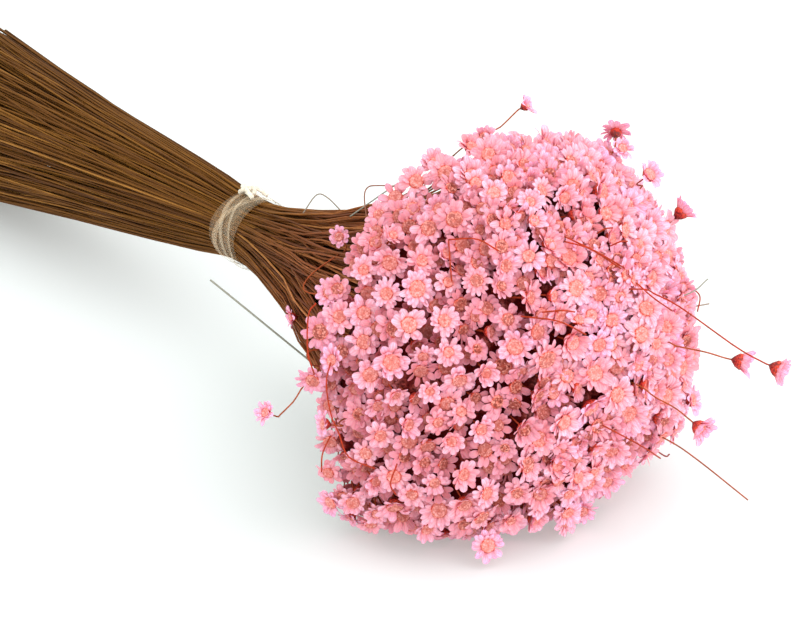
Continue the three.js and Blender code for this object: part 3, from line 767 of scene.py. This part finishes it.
def add_middles(stock, heads):
    """Disc and cup of each head in one closed skin, revolved, with every other point raised or drawn in."""
    profile = np.concatenate([DISC_PROFILE, CUP_PROFILE])
    rows = len(profile)
    disc_rows = len(DISC_PROFILE)
    angle = 2 * np.pi * np.arange(HEAD_SIDES) / HEAD_SIDES
    radius = np.repeat(profile[:, :1], HEAD_SIDES, 1)
    height = np.repeat(profile[:, 1:], HEAD_SIDES, 1)
    odd = np.where((np.arange(rows)[:, None] + np.arange(HEAD_SIDES)) % 2 == 0, 1, -1)
    height[:disc_rows] += DISC_GRAIN * odd[:disc_rows]
    radius[disc_rows:] *= 1 + CUP_SCALLOP * odd[disc_rows:]
    local = np.stack([radius * np.cos(angle), radius * np.sin(angle), height], -1).reshape(-1, 3)
    local = np.concatenate([[[0, 0, 0.0]], local, [[0, 0, CUP_POLE]]])
    scale = np.stack([heads["disc"], heads["disc"], np.ones(len(heads["disc"]))], -1)
    local = local[None] * scale[:, None] - np.array([0, 0, DISC_DROP])
    faces = np.concatenate([
        fan_triangles(0, 1, HEAD_SIDES),
        1 + skin_triangles(rows, HEAD_SIDES)[:, ::-1],
        fan_triangles(1 + rows * HEAD_SIDES, 1 + (rows - 1) * HEAD_SIDES, HEAD_SIDES)[:, ::-1],
    ])
    skin = np.repeat(np.where(np.arange(rows - 1) < disc_rows - 1, DISC_MATERIAL, CUP_MATERIAL), HEAD_SIDES)
    materials = np.concatenate([
        np.full(HEAD_SIDES, DISC_MATERIAL), skin, skin, np.full(HEAD_SIDES, CUP_MATERIAL),
    ])
    count, size = local.shape[:2]
    along = np.concatenate([np.linspace(0.2, 1, disc_rows), np.linspace(1, 0.1, len(CUP_PROFILE))])
    stock.add(
        placed(heads, local),
        faces + (np.arange(count) * size)[:, None, None],
        np.tile(materials, count),
        along=np.concatenate([[0], np.repeat(along, HEAD_SIDES), [0]]),
        tint=heads["tint"][:, None],
        depth=heads["depth"][:, None],
        kind=heads["kind"][:, None],
    )


def chosen(heads, mask):
    """The heads that a mask picks."""
    return {key: value[mask] for key, value in heads.items()}


def smooth_path(points, steps):
    """Points along a smooth curve: a cubic between each two neighbours, parallel at each of them to the
    chord between the points beside it."""
    points = np.array(points, float)
    padded = np.concatenate([[2 * points[0] - points[1]], points, [2 * points[-1] - points[-2]]])
    spans = len(points) - 1
    share = np.linspace(0, spans, steps + 1)
    span = np.minimum(share.astype(int), spans - 1)
    t = (share - span)[:, None]
    a, b, c, d = (padded[span + i] for i in range(4))
    bend = (2 * a - 5 * b + 4 * c - d) * t ** 2 + (3 * b - a - 3 * c + d) * t ** 3
    return (2 * b + (c - a) * t + bend) / 2


# Stems

def axis_height(x):
    """Height of the middle of the stems: level to the band, then sinking by a twentieth to the cut ends."""
    return AXIS_HEIGHT + np.minimum(0, TAIL_SAG * x)


def stem_points(x, around, share):
    """Points at a share of the bundle's radius: outwards by share times the profile, pressed flat below."""
    radius = share * np.interp(x, STEM_PROFILE[:, 0], STEM_PROFILE[:, 1])
    points = outward(around) * radius[..., None]
    floor = np.where(x < 0, axis_height(x) + TAIL_PRESSED_BELOW, NECK_PRESSED_DEPTH)
    pressed = np.maximum(0, -points[..., 2] / floor)
    points = points / ((1 + pressed ** PRESSING_POWER) ** (1 / PRESSING_POWER))[..., None]
    points[..., 0] = x
    points[..., 2] += axis_height(x)
    return points


# Places along the bunch that every stem passes, from its cut end to where the stems fan out.
BUNDLE_STATIONS = np.array([
    -276, -275.5, -238, -200, -160, -120, -84, -52, -24, -6, 5, 17, 31, 50, 72, 92.0,
])
WAIST_STATION = 10
FAN_STEPS = 8


def ranked(values):
    """Each value's place in their order, from 0 to 1."""
    order = np.empty(len(values))
    order[np.argsort(values)] = np.arange(len(values))
    return (order + 0.5) / len(values)


def head_stems(heads, rng):
    """Paths from the cut ends, through the band, to under the heads: the profile's line, then one cubic arc.
    The stems of outer heads lie further out, but change places a little in the neck and more in the tail."""
    count = len(heads["radius"])
    area = (1 - np.cos(heads["polar"])) / (1 - np.cos(DOME_END))
    neck_share, waist_share, tail_share = (
        ranked(area + scatter * rng.standard_normal(count))[:, None] ** power
        for scatter, power in (NECK_ORDER, WAIST_ORDER, TAIL_ORDER)
    )
    x = np.repeat(BUNDLE_STATIONS[None], count, 0)
    x[:, :2] += (RAGGED_LENGTH * (2 * rng.random(count) - 1))[:, None]
    tail = np.clip(-x / TAIL_LENGTH, 0, 1)
    neck = np.clip((x - NECK_START) / NECK_LENGTH, 0, 1)
    shares = waist_share * (1 - tail - neck) + tail_share * tail + neck_share * neck
    around = heads["around"][:, None] + TURN_SCATTER * rng.standard_normal((count, 1))
    behind = 1 - np.clip(x / BUNDLE_STATIONS[-1], 0, 1)
    around = around + BUNDLE_TURN_SCATTER * rng.standard_normal((count, 1)) * behind
    behind = np.clip(x / BUNDLE_STATIONS[0], 0, 1)
    around = around + TAIL_TURN_SCATTER * rng.standard_normal((count, 1)) * behind
    bundle = stem_points(x, around, STEM_FILL * shares)
    wander = STEM_WANDER * rng.standard_normal((count, len(BUNDLE_STATIONS) - 2, 2))
    bundle[:, 2:, 1:] += wander * (1 - shares ** 6)[:, 2:, None]
    start = bundle[:, -1:]
    heading = unit(bundle[:, -1:] - bundle[:, -3:-2])
    facing = turned_from_dome(heads["facing"])[:, None]
    end = from_dome(heads["centre"])[:, None] - facing * (CUP_ENTRY * heads["radius"])[:, None, None]
    pull = lengths(end - start)[..., None]
    t = (np.arange(1, FAN_STEPS + 1) / FAN_STEPS)[None, :, None]
    fan = (start * (1 - t) ** 3 + 3 * (start + heading * pull * BUNDLE_PULL) * t * (1 - t) ** 2
           + 3 * (end - facing * pull * CUP_PULL) * t ** 2 * (1 - t) + end * t ** 3)
    return np.concatenate([bundle, fan], 1)


def over_heads(places):
    """Points over the heads, from degrees off the dome's axis, degrees around it, and height over it."""
    polar, around, height = np.array(places, float).T
    points, normals = dome_surface(np.radians(polar), np.radians(around))
    return points + normals * height[:, None]


def stray_path(stray, place):
    """The way of a stray's stem: over the heads, through its points, and into its cup from behind."""
    points = []
    if stray["over"]:
        points += list(from_dome(over_heads(stray["over"])))
    if stray["points"]:
        points += list(place(np.array(stray["points"], float)))
    if place is from_dome and not stray["over"]:
        points = [DOME_CENTRE + (points[0] - DOME_CENTRE) * STRAY_ROOT] + points
    if stray["radius"]:
        middle = points.pop()
        faces = unit(np.array(stray["faces"]))
        points += [middle - faces * stray["radius"] * share for share in (stray["reach"], CUP_ENTRY)]
    return smooth_path(points, STRAY_STEPS)


def lying_stems(rng):
    """Seeded bare stems that come out between two heads and lie over the dome's +Y side for some 20 mm."""
    strays = []
    for _ in range(LYING_STEMS):
        polar, around = (least + spread * rng.random() for least, spread in LYING_PLACES)
        swing = LYING_SWING * (rng.random() - 0.5)
        strays.append(bare_stray(over=[
            (polar - nearer, around + swing * share, height) for nearer, share, height in LYING_WAY
        ]))
    return strays


# Materials

def linear(color):
    """A colour given as 0 to 255 as seen on a screen, made linear by the usual power curve."""
    shares = np.array(color) / 255
    bright = ((shares + 0.055) / 1.055) ** 2.4
    return (*np.where(shares <= 0.04045, shares / 12.92, bright), 1.0)


def wired(tree, kind, inputs, **settings):
    """A new node with its settings, and its inputs linked to sockets or set to plain values."""
    node = tree.nodes.new(kind)
    for name, setting in settings.items():
        setattr(node, name, setting)
    for name, source in inputs.items():
        if isinstance(source, bpy.types.NodeSocket):
            tree.links.new(source, node.inputs[name])
        else:
            node.inputs[name].default_value = source
    return node


def scaled(tree, source, low, high, to_low=0.0, to_high=1.0):
    """A value carried from one range to another, and held there."""
    return wired(tree, "ShaderNodeMapRange", {
        "Value": source, "From Min": low, "From Max": high, "To Min": to_low, "To Max": to_high,
    }).outputs["Result"]


def mixed(tree, share, first, second):
    """Two linear colours or colour sockets mixed by a share."""
    return wired(tree, "ShaderNodeMix", {0: share, 6: first, 7: second}, data_type="RGBA").outputs[2]


class Finish:
    """A procedural material: colours laid one over another on a principled shader, with bump and gloss."""

    def __init__(self, name, settings):
        self.material = bpy.data.materials.new(name)
        self.material.use_nodes = True
        self.tree = self.material.node_tree
        self.shader = self.tree.nodes["Principled BSDF"]
        self.color = None
        for key, value in settings.items():
            self.shader.inputs[key].default_value = value

    def value(self, name):
        """One of the mesh's own values."""
        return wired(self.tree, "ShaderNodeAttribute", {}, attribute_name=name).outputs["Fac"]

    def ramp(self, source, stops):
        """A colour ramp over a source, from (place, colour) stops."""
        node = wired(self.tree, "ShaderNodeValToRGB", {"Fac": source})
        elements = node.color_ramp.elements
        while len(elements) < len(stops):
            elements.new(0.5)
        for element, (place, color) in zip(elements, stops):
            element.position = place
            element.color = linear(color)
        return node.outputs["Color"]

    def lay(self, color, source, low, high, least=0.0, most=1.0):
        """Lays a colour over the last one, by a source carried from one range to another."""
        color = color if isinstance(color, bpy.types.NodeSocket) else linear(color)
        self.color = mixed(self.tree, scaled(self.tree, source, low, high, least, most), self.color, color)

    def noise(self, scale, detail=2.0, stretch=(1, 1, 1)):
        """Noise on object coordinates, stretched along the axes."""
        place = wired(self.tree, "ShaderNodeTexCoord", {}).outputs["Object"]
        mapping = wired(self.tree, "ShaderNodeMapping", {"Vector": place, "Scale": stretch})
        return wired(self.tree, "ShaderNodeTexNoise", {
            "Vector": mapping.outputs["Vector"], "Scale": scale, "Detail": detail,
        }).outputs["Fac"]

    def grains(self, scale):
        """Cells on object coordinates: the distance from each one's middle, and two random shares for it."""
        place = wired(self.tree, "ShaderNodeTexCoord", {}).outputs["Object"]
        cells = wired(self.tree, "ShaderNodeTexVoronoi", {"Vector": place, "Scale": scale}).outputs
        shares = wired(self.tree, "ShaderNodeSeparateColor", {"Color": cells["Color"]}).outputs
        return cells["Distance"], shares["Red"], shares["Green"]

    def finished(self, height, strength, distance):
        """The material, with its colour and a bump from a height linked to the shader."""
        bump = wired(self.tree, "ShaderNodeBump", {
            "Height": height, "Strength": strength, "Distance": distance,
        })
        self.tree.links.new(self.color, self.shader.inputs["Base Color"])
        self.tree.links.new(bump.outputs["Normal"], self.shader.inputs["Normal"])
        return self.material


def petal_material():
    """Papery petals: salmon at the root, pink along, paler at the tip, some lilac, mauve on old heads and
    partly as painted shade on the -Y side, dark red as painted shade on the lower heads, with ribs and
    darker rims."""
    finish = Finish("pink_petal", {
        "Roughness": 0.6, "Specular IOR Level": 0.15, "Subsurface Weight": 0.35,
        "Subsurface Radius": (1.0, 0.45, 0.4), "Subsurface Scale": 0.0003,
    })
    along, across, tint, depth, kind = (finish.value(name) for name in Stock.VALUES)
    finish.color = finish.ramp(along, [
        (0.0, (240, 130, 120)), (0.17, (250, 168, 166)), (0.5, (252, 188, 198)), (1.0, (251, 198, 220)),
    ])
    lilac = finish.ramp(along, [(0.0, (242, 146, 160)), (0.5, (252, 184, 208)), (1.0, (248, 190, 234))])
    finish.lay(lilac, tint, 0.5, 1.1)
    finish.lay((246, 152, 154), tint, 0.3, -0.2)
    # Mauve on old heads, and a little on all heads of the -Y side as painted shade in part.
    finish.lay((204, 132, 140), kind, 0.0, 1.0, 0.0, 0.7)
    # Painted shade: the lower heads darken to dark red, most in the dome's shade.
    finish.lay((164, 66, 60), depth, 0.2, 1.0, 0.0, 0.85)
    finish.lay((240, 138, 150), finish.noise(900), 0.42, 0.75, 0.0, 0.2)
    place = wired(finish.tree, "ShaderNodeCombineXYZ", {"X": across}).outputs["Vector"]
    ribs = wired(finish.tree, "ShaderNodeTexWave", {"Vector": place, "Scale": 0.5, "Distortion": 1.0})
    finish.lay((234, 122, 146), ribs.outputs["Fac"], 0.2, 0.8, 0.34, 0.0)
    side = wired(finish.tree, "ShaderNodeMath", {0: across}, operation="ABSOLUTE").outputs[0]
    finish.lay((236, 122, 146), side, 0.5, 1.0, 0.0, 0.5)
    return finish.finished(ribs.outputs["Fac"], 0.3, 0.0002)


def disc_material():
    """Grainy disc: peach grains, with orange-red dots in a ring at its edge, red-brown in some heads, and
    darker on the lower heads as painted shade.
    """
    finish = Finish("grainy_disc", {"Roughness": 0.75, "Specular IOR Level": 0.2})
    off, share, other_share = finish.grains(1900)
    along = finish.value("along")
    finish.color = finish.ramp(share, [
        (0.0, (240, 134, 120)), (0.3, (247, 154, 144)), (0.7, (252, 168, 162)), (1.0, (254, 184, 180)),
    ])
    dark = finish.ramp(share, [
        (0.0, (84, 24, 18)), (0.45, (134, 56, 44)), (0.68, (206, 120, 102)), (1.0, (240, 166, 150)),
    ])
    dots = finish.ramp(other_share, [(0.0, (212, 80, 60)), (0.4, (228, 108, 88)), (0.55, (252, 168, 154))])
    # Red-brown on old heads, and a little on all heads of the -Y side as painted shade in part.
    finish.lay(dark, finish.value("kind"), 0.0, 1.0)
    finish.lay(dots, along, 0.7, 0.9)
    finish.lay((226, 112, 88), along, 0.34, 0.0, 0.0, 0.55)
    finish.lay((196, 60, 40), finish.value("tint"), 0.95, 0.97, 0.0, 0.6)
    finish.lay((172, 62, 44), off, 0.4, 0.75, 0.0, 0.4)
    # Painted shade: discs of the lower heads darken to red-brown with their depth.
    finish.lay((128, 40, 32), finish.value("depth"), 0.2, 1.0, 0.1, 0.7)
    return finish.finished(scaled(finish.tree, off, 0.0, 0.6, 1.0, 0.0), 0.5, 0.0003)


def cup_material():
    """Cup of scales: dark maroon at the stem, orange-red at the scalloped rim, with paler orange scales."""
    finish = Finish("red_cup", {"Roughness": 0.5})
    finish.color = finish.ramp(finish.value("along"), [
        (0.1, (90, 10, 8)), (0.45, (142, 14, 8)), (0.75, (190, 26, 10)), (1.0, (222, 62, 32)),
    ])
    off = finish.grains(1700)[0]
    finish.lay((236, 90, 36), off, 0.5, 0.1, 0.0, 0.3)
    finish.lay((66, 12, 14), off, 0.45, 0.75, 0.0, 0.7)
    return finish.finished(scaled(finish.tree, off, 0.0, 0.7, 1.0, 0.0), 0.7, 0.0004)


def shaded_packed_material():
    """The layer below the heads, painted dark as the shade between them: dark maroon between the old cups,
    dull red and mauve on them.
    """
    finish = Finish("shaded_packed_cups", {"Roughness": 0.8, "Specular IOR Level": 0.1})
    # Painted shade: darkest between the cups' bumps, paler on their tops.
    finish.color = finish.ramp(finish.value("along"), [
        (0.0, (86, 6, 8)), (0.4, (116, 20, 18)), (0.8, (168, 76, 68)), (1.0, (206, 124, 122)),
    ])
    finish.lay((96, 12, 12), finish.noise(420), 0.42, 0.62, 0.0, 0.7)
    finish.lay((58, 8, 8), finish.noise(1300), 0.45, 0.6, 0.0, 0.7)
    return finish.finished(finish.noise(700), 0.8, 0.001)


def stem_material():
    """Dry stems: olive ochre by the band, redder by the heads, each its own shade, with streaks along it.
    Cut ends are pale, and some strays grey-green."""
    finish = Finish("dry_stem", {"Roughness": 0.7, "Specular IOR Level": 0.15})
    along, tint = finish.value("along"), finish.value("tint")
    finish.color = finish.ramp(tint, [
        (0.0, (78, 42, 8)), (0.35, (106, 63, 14)), (0.7, (130, 83, 24)), (1.0, (160, 108, 46)),
    ])
    red = finish.ramp(tint, [
        (0.0, (106, 46, 24)), (0.35, (146, 72, 37)), (0.7, (176, 97, 52)), (1.0, (204, 124, 74)),
    ])
    streaks = finish.noise(60, 4.0, (1, 14, 14))
    finish.lay(red, along, 0.1, 0.75)
    finish.lay((180, 54, 30), along, 0.9, 1.0)
    finish.lay((86, 50, 12), streaks, 0.35, 0.7, 0.0, 0.5)
    finish.lay((150, 148, 134), finish.value("depth"), 0.0, 1.0)
    finish.lay((206, 176, 128), finish.value("kind"), 0.0, 1.0)
    return finish.finished(streaks, 0.5, 0.0003)


def band_material(name, alpha):
    """Whitish see-through elastic, with fine lengthwise ribs."""
    finish = Finish(name, {"Roughness": 0.32, "Alpha": alpha})
    ribs = finish.noise(500, 2.0, (4, 1, 1))
    finish.color = linear((250, 210, 164))
    finish.lay((255, 236, 206), ribs, 0.35, 0.7)
    return finish.finished(ribs, 0.2, 0.0002)


def knot_material():
    """The cream, denser elastic of the knot, pulled into fine wrinkles."""
    finish = Finish("knotted_elastic", {"Roughness": 0.4, "Alpha": 0.75})
    wrinkles = finish.noise(900, 3.0, (1, 1, 2))
    finish.color = linear((236, 222, 198))
    finish.lay((252, 246, 232), wrinkles, 0.35, 0.7)
    return finish.finished(wrinkles, 0.5, 0.0004)


def floor_material():
    """Plain pale floor, lit from below too like a light table, so that its shadows stay pale."""
    return Finish("pale_floor", {
        "Base Color": (0.58, 0.585, 0.582, 1), "Roughness": 0.7,
        "Emission Color": (0.95, 1, 0.97, 1), "Emission Strength": 0.31,
    }).material


# The bunch

def dressed(heads, rng):
    """The heads with their own tint, how open each is, its disc's size, and which ones are old and darker.
    Past y = -25 more are old, and all are less lilac and a little mauve: partly older heads, partly painted
    shade for that side. Those with the fewest and broadest petals are most of the heads on the -Y side, and
    few of the others."""
    count = len(heads["radius"])
    # Painted shade, in part, for the -Y side past y = -25: less lilac, more old heads, a little mauve on
    # all.
    aged_and_shaded_side = heads["centre"][:, 1] < AGED_AND_SHADED_SIDE
    heads["tint"] = rng.random(count) * np.where(aged_and_shaded_side, AGED_AND_SHADED_TINT, 1)
    broad = rng.random(count) < np.clip(BROAD_SHARE - heads["centre"][:, 1] / BROAD_SIDE, *BROAD_LIMITS)
    heads["group"] = np.where(broad, 0, 1 + (rng.random(count) < FINEST_SHARE))
    heads["disc"] = DISC_LEAST + DISC_SPREAD * rng.random(count)
    heads["open"] = np.clip(OPEN_USUAL + OPEN_SPREAD * rng.standard_normal(count), *OPEN_LIMITS)
    old_share = np.where(heads["depth"] > 0, OLD_LOWER_SHARE, OLD_SHARE) + OLD_AND_SHADED_SHARE_MORE * aged_and_shaded_side
    old = rng.random(count) < old_share
    how_old = OLD_LEAST + OLD_SPREAD * rng.random(count) ** OLD_RARITY
    heads["kind"] = np.where(old, how_old, AGED_AND_SHADED_LEAST * aged_and_shaded_side)
    return heads


def stray_heads(strays, place, rng):
    """Heads at the ends of strays, in the dome's own frame, which face their own ways."""
    own = [stray for stray in strays if stray["radius"]]
    count = len(own)
    ends = np.array([place(np.array(stray["points"][-1], float)) for stray in own])
    heads = dressed({
        "centre": (ends - DOME_CENTRE) @ DOME_AXES,
        "facing": unit(np.array([stray["faces"] for stray in own])) @ DOME_AXES,
        "radius": np.array([stray["radius"] for stray in own]),
        "spin": 2 * np.pi * rng.random(count),
        "polar": np.zeros(count),
        "around": np.zeros(count),
        "depth": np.zeros(count),
    }, rng)
    heads["open"] = np.array([stray["open"] for stray in own])
    heads["kind"] = np.array([stray["old"] for stray in own])
    heads["tint"] = np.full(count, STRAY_TINT)
    heads["group"] = np.where(heads["radius"] < SMALL_STRAY, 0, 1)
    return heads


def bare_ends(rng):
    """Stems that have lost their heads: they end behind the lower heads, spread over the whole dome."""
    even = even_polar_angles(BARE_STEMS)
    around = np.arange(BARE_STEMS) * GOLDEN_ANGLE + BARE_TURN
    points, normals = dome_surface(even, around)
    return {
        "centre": points - normals * (BARE_SINK_LEAST + BARE_SINK_SPREAD * rng.random(BARE_STEMS))[:, None],
        "facing": normals,
        "radius": np.full(BARE_STEMS, 1.0),
        "polar": even,
        "around": around,
    }


def head_pieces(heads, materials, rng):
    """One piece for each cluster of heads, in place of its solid."""
    names = ["crown_heads"]
    names += [f"middle_heads_{i + 1}" for i in range(MIDDLE_CLUSTERS)]
    names += [f"rim_heads_{i + 1}" for i in range(RIM_CLUSTERS)]
    clusters = cluster_of(heads["centre"])
    bunch = dict(heads)
    bunch["centre"] = from_dome(heads["centre"])
    bunch["facing"] = turned_from_dome(heads["facing"])
    for number, name in enumerate(names):
        stock = Stock()
        own = chosen(bunch, clusters == number)
        upper = chosen(own, own["depth"] == 0)
        lower = chosen(own, own["depth"] > 0)
        add_petals(stock, upper, OUTER_PETALS, rng)
        add_petals(stock, upper, INNER_PETALS, rng)
        if len(lower["radius"]):
            add_petals(stock, lower, LOWER_PETALS, rng)
        add_middles(stock, own)
        piece = stock.piece(name.replace("_heads", "_blooms"), materials)
        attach(piece, "root")
        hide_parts(name)


def shaded_packed_piece(material):
    """The layer below the heads, a dark sheet of painted shade seen through their gaps: the dome's surface
    drawn in, plus half a ball's height at each of its old cups."""
    rng = np.random.default_rng(PACKED_SEED)
    rows, columns = PACKED_ROWS, PACKED_COLUMNS
    polar = np.repeat(np.linspace(PACKED_START, PACKED_END, rows)[:, None], columns, 1)
    around = np.repeat(2 * np.pi * np.arange(columns)[None] / columns, rows, 0)
    points, normals = dome_surface(polar, around)
    cups = dome_surface(
        even_polar_angles(PACKED_CUPS) + PACKED_SCATTER * rng.standard_normal(PACKED_CUPS),
        np.arange(PACKED_CUPS) * GOLDEN_ANGLE + PACKED_TURN_SCATTER * rng.standard_normal(PACKED_CUPS),
    )[0]
    off = lengths(points[:, :, None] - cups).min(-1) / CUP_BUMP_RADIUS
    bump = np.sqrt(np.clip(1 - off ** 2, 0, 1))
    grid = points * PACKED_SHARE + normals * (CUP_BUMP_HEIGHT * bump)[..., None]
    ends = np.array([[DOME_FRONT * PACKED_SHARE, 0, 0], [grid[-1, :, 0].mean(), 0, 0]])
    faces = np.concatenate([
        skin_triangles(rows, columns)[:, ::-1],
        fan_triangles(rows * columns, 0, columns),
        fan_triangles(rows * columns + 1, (rows - 1) * columns, columns)[:, ::-1],
    ])
    stock = Stock()
    places = from_dome(np.concatenate([grid.reshape(-1, 3), ends]))
    stock.add(places, faces, along=np.append(bump.ravel(), [0.5, 0.0]))
    piece = stock.piece("shaded_packed_cups", [material])
    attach(piece, "root")


def stem_pieces(heads, material, rng):
    """One piece for each lock, in place of its solid: the stems that pass the band in that twelfth."""
    paths = head_stems(heads, rng)
    count = len(paths)
    tints = np.clip(STEM_TINT + STEM_TINT_SCATTER * rng.standard_normal(count), 0, 1)
    thick = np.append(np.interp(BUNDLE_STATIONS, *BUNDLE_TAPER.T), np.linspace(*FAN_TAPER, FAN_STEPS))
    radii = STEM_RADIUS * (THICKNESS_LEAST + THICKNESS_SPREAD * rng.random(count))[:, None] * thick
    waist = paths[:, WAIST_STATION]
    turns = (np.arctan2(waist[:, 1], waist[:, 2] - AXIS_HEIGHT) / (2 * np.pi)) % 1
    lock = (turns * STEM_LOCKS).astype(int)
    fan = np.arange(1, FAN_STEPS + 1) / FAN_STEPS
    along = np.append(np.clip(BUNDLE_STATIONS / RED_FROM_LENGTH, 0, 1), RED_IN_FAN + (1 - RED_IN_FAN) * fan)
    cut = np.arange(len(along)) == 0
    strays = [(stray, from_dome) for stray in DOME_STRAYS + lying_stems(rng)]
    strays += [(stray, from_neck) for stray in NECK_STRAYS]
    stray_paths = np.stack([stray_path(stray, place) for stray, place in strays])
    grey = np.array([stray["grey"] for stray, _ in strays])
    thick = np.array([stray["thick"] for stray, _ in strays])
    red = np.array([1.0 if stray["over"] else STRAY_RED for stray, _ in strays])
    for number in range(STEM_LOCKS):
        stock = Stock()
        own = lock == number
        add_tubes(stock, paths[own], radii[own], STEM_SIDES, 0,
                  along=along, kind=cut, tint=tints[own][:, None])
        mine = np.arange(len(stray_paths)) % STEM_LOCKS == number
        radii_along = np.repeat(thick[mine][:, None], STRAY_STEPS + 1, 1)
        add_tubes(stock, stray_paths[mine], radii_along, STEM_SIDES, 0,
                  along=red[mine][:, None], tint=STRAY_STEM_TINT, depth=grey[mine][:, None])
        piece = stock.piece(f"stems_{number + 1}", [material])
        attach(piece, "root")
        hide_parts(f"stem_lock_{number + 1}")


# The turns of the band: each one's middle, how far and where it swings, its radius, half width and material.
BAND_TURNS = [
    (6.4, 0.8, 0.4, 12.75, 4.2, 0), (11.2, 1.2, 2.2, 12.95, 4.4, 0), (15.6, 0.9, 4.0, 13.1, 4.0, 0),
    (9.8, 4.4, 0.9, 13.3, 1.5, 1), (12.2, 5.2, 5.3, 13.45, 1.1, 1), (10.4, 6.0, 3.0, 13.6, 0.6, 1),
]
BAND_SECOND_SWAY = 0.3
BAND_WIDTH_SWING = 0.18
BAND_STATIONS = 64
BAND_THICKNESS = 0.2
BAND_CORNERS = np.array([
    [1, -0.5], [1, 0.5], [0.6, 1], [0, 1.15], [-0.6, 1], [-1, 0.5], [-1, -0.5], [0, -0.6],
])
KNOT_MATERIAL = 2
KNOT_PLACE = np.array([6.5, 0, 14.6])
KNOT_SIZE = np.array([1.25, 0.85, 0.9])
KNOT_STEPS = 64
KNOT_STRAND = 0.85
KNOT_SIDES = 7
KNOT_ENDS = [
    [[6, 0, 14.8], [10, -2, 15.6], [15, -2.6, 14.2]],
    [[7, 0, 14.8], [9, 2.4, 15.6], [13, 4.8, 13.4]],
]


def wound_strip(middle, sway, phase, radius, half_width):
    """One turn of the band: a flat closed strip round the waist, which swings along it as it goes round."""
    angle = 2 * np.pi * np.arange(BAND_STATIONS) / BAND_STATIONS
    out = outward(angle)
    path = out * radius
    path[:, 0] = middle + sway * np.sin(angle + phase)
    path[:, 0] += BAND_SECOND_SWAY * sway * np.sin(2 * angle + 2 * phase)
    tangent = unit(np.roll(path, -1, 0) - np.roll(path, 1, 0))
    wide = unit(np.cross(tangent, out))
    width = half_width * (1 + BAND_WIDTH_SWING * np.sin(3 * angle + phase))
    ring = path[:, None] + wide[:, None] * (BAND_CORNERS[:, 0] * width[:, None])[..., None]
    return from_neck(ring + out[:, None] * (BAND_CORNERS[:, 1:] * BAND_THICKNESS))


def band_piece(materials):
    """The elastic band: flat turns round the waist that cross, and a knot on top: a trefoil and two ends."""
    stock = Stock()
    faces = skin_triangles(BAND_STATIONS, len(BAND_CORNERS), True)
    for *turn, material_number in BAND_TURNS:
        stock.add(wound_strip(*turn), faces, material_number)
    loop = 2 * np.pi * np.arange(KNOT_STEPS + 1) / KNOT_STEPS
    loops = KNOT_PLACE + KNOT_SIZE * np.stack([
        np.sin(loop) + 2 * np.sin(2 * loop), np.cos(loop) - 2 * np.cos(2 * loop), -np.sin(3 * loop),
    ], -1)
    strands = from_neck(np.stack([loops] + [smooth_path(end, KNOT_STEPS) for end in KNOT_ENDS]))
    add_tubes(stock, strands, np.full(strands.shape[:2], KNOT_STRAND), KNOT_SIDES, KNOT_MATERIAL)
    piece = stock.piece("elastic_band", materials)
    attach(piece, "root")
    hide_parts("tie_band")


def build_bunch():
    """Heads, stems and band."""
    rng = np.random.default_rng(DRESSING_SEED)
    outer = outer_heads()
    heads = dressed(joined(outer, filler_heads(outer)), rng)
    materials = [petal_material(), disc_material(), cup_material()]
    bare = bare_ends(rng)
    stem_pieces(joined(bare, {key: heads[key] for key in bare}), stem_material(), rng)
    strays = stray_heads(DOME_STRAYS, from_dome, rng)
    neck = stray_heads(NECK_STRAYS, from_neck, rng)
    head_pieces(joined(heads, strays, neck), materials, rng)
    shaded_packed_piece(shaded_packed_material())
    band_piece([
        band_material("clear_elastic", 0.055), band_material("crossed_elastic", 0.15), knot_material(),
    ])


# The studio

def floor():
    """A plain pale floor."""
    mesh = bpy.data.meshes.new("floor")
    corners = [(x * FLOOR_SIZE, y * FLOOR_SIZE, 0) for x, y in ((-1, -1), (1, -1), (1, 1), (-1, 1))]
    mesh.from_pydata(corners, [], [(0, 1, 2, 3)])
    mesh.materials.append(floor_material())
    plane = bpy.data.objects.new("floor", mesh)
    bpy.context.scene.collection.objects.link(plane)


def looking(name, data, place, back):
    """A new lamp or camera at a place, which looks along minus back, with its top upwards."""
    right = unit(np.cross([0, 0, 1.0], back))
    rows = np.stack([right, np.cross(back, right), back], 1)
    thing = bpy.data.objects.new(name, data)
    thing.matrix_world = Matrix([[*rows[i], place[i]] for i in range(3)] + [[0, 0, 0, 1]])
    bpy.context.scene.collection.objects.link(thing)
    return thing


def camera():
    """The camera, at the photograph's viewing angle."""
    data = bpy.data.cameras.new("camera")
    data.sensor_width = SENSOR_WIDTH
    data.lens = SENSOR_WIDTH * FOCAL_PIXELS / PICTURE_WIDTH
    back = np.array([
        np.sin(CAMERA_AZIMUTH) * np.cos(CAMERA_ELEVATION),
        -np.cos(CAMERA_AZIMUTH) * np.cos(CAMERA_ELEVATION),
        np.sin(CAMERA_ELEVATION),
    ])
    bpy.context.scene.camera = looking("camera", data, metres(CAMERA_PLACE), back)


def studio():
    """Soft light all round, stronger and warmer towards +X, and a large soft light above, right of the
    camera."""
    world = bpy.data.worlds.new("studio")
    world.use_nodes = True
    tree = world.node_tree
    place = wired(tree, "ShaderNodeTexCoord", {}).outputs["Generated"]
    forward = wired(tree, "ShaderNodeSeparateXYZ", {"Vector": place}).outputs["X"]
    sky = tree.nodes["Background"].inputs
    tree.links.new(scaled(tree, forward, -1.0, 1.0, *SKY_STRENGTHS), sky["Strength"])
    tree.links.new(mixed(tree, scaled(tree, forward, -1.0, 1.0), *SKY_COLORS), sky["Color"])
    bpy.context.scene.world = world
    data = bpy.data.lights.new("key", "AREA")
    data.size = KEY_SIZE
    data.energy = KEY_POWER
    looking("key", data, KEY_PLACE, unit(KEY_PLACE - KEY_TARGET))
    bpy.context.scene.view_settings.view_transform = "Standard"


build_bunch()
floor()
camera()
studio()
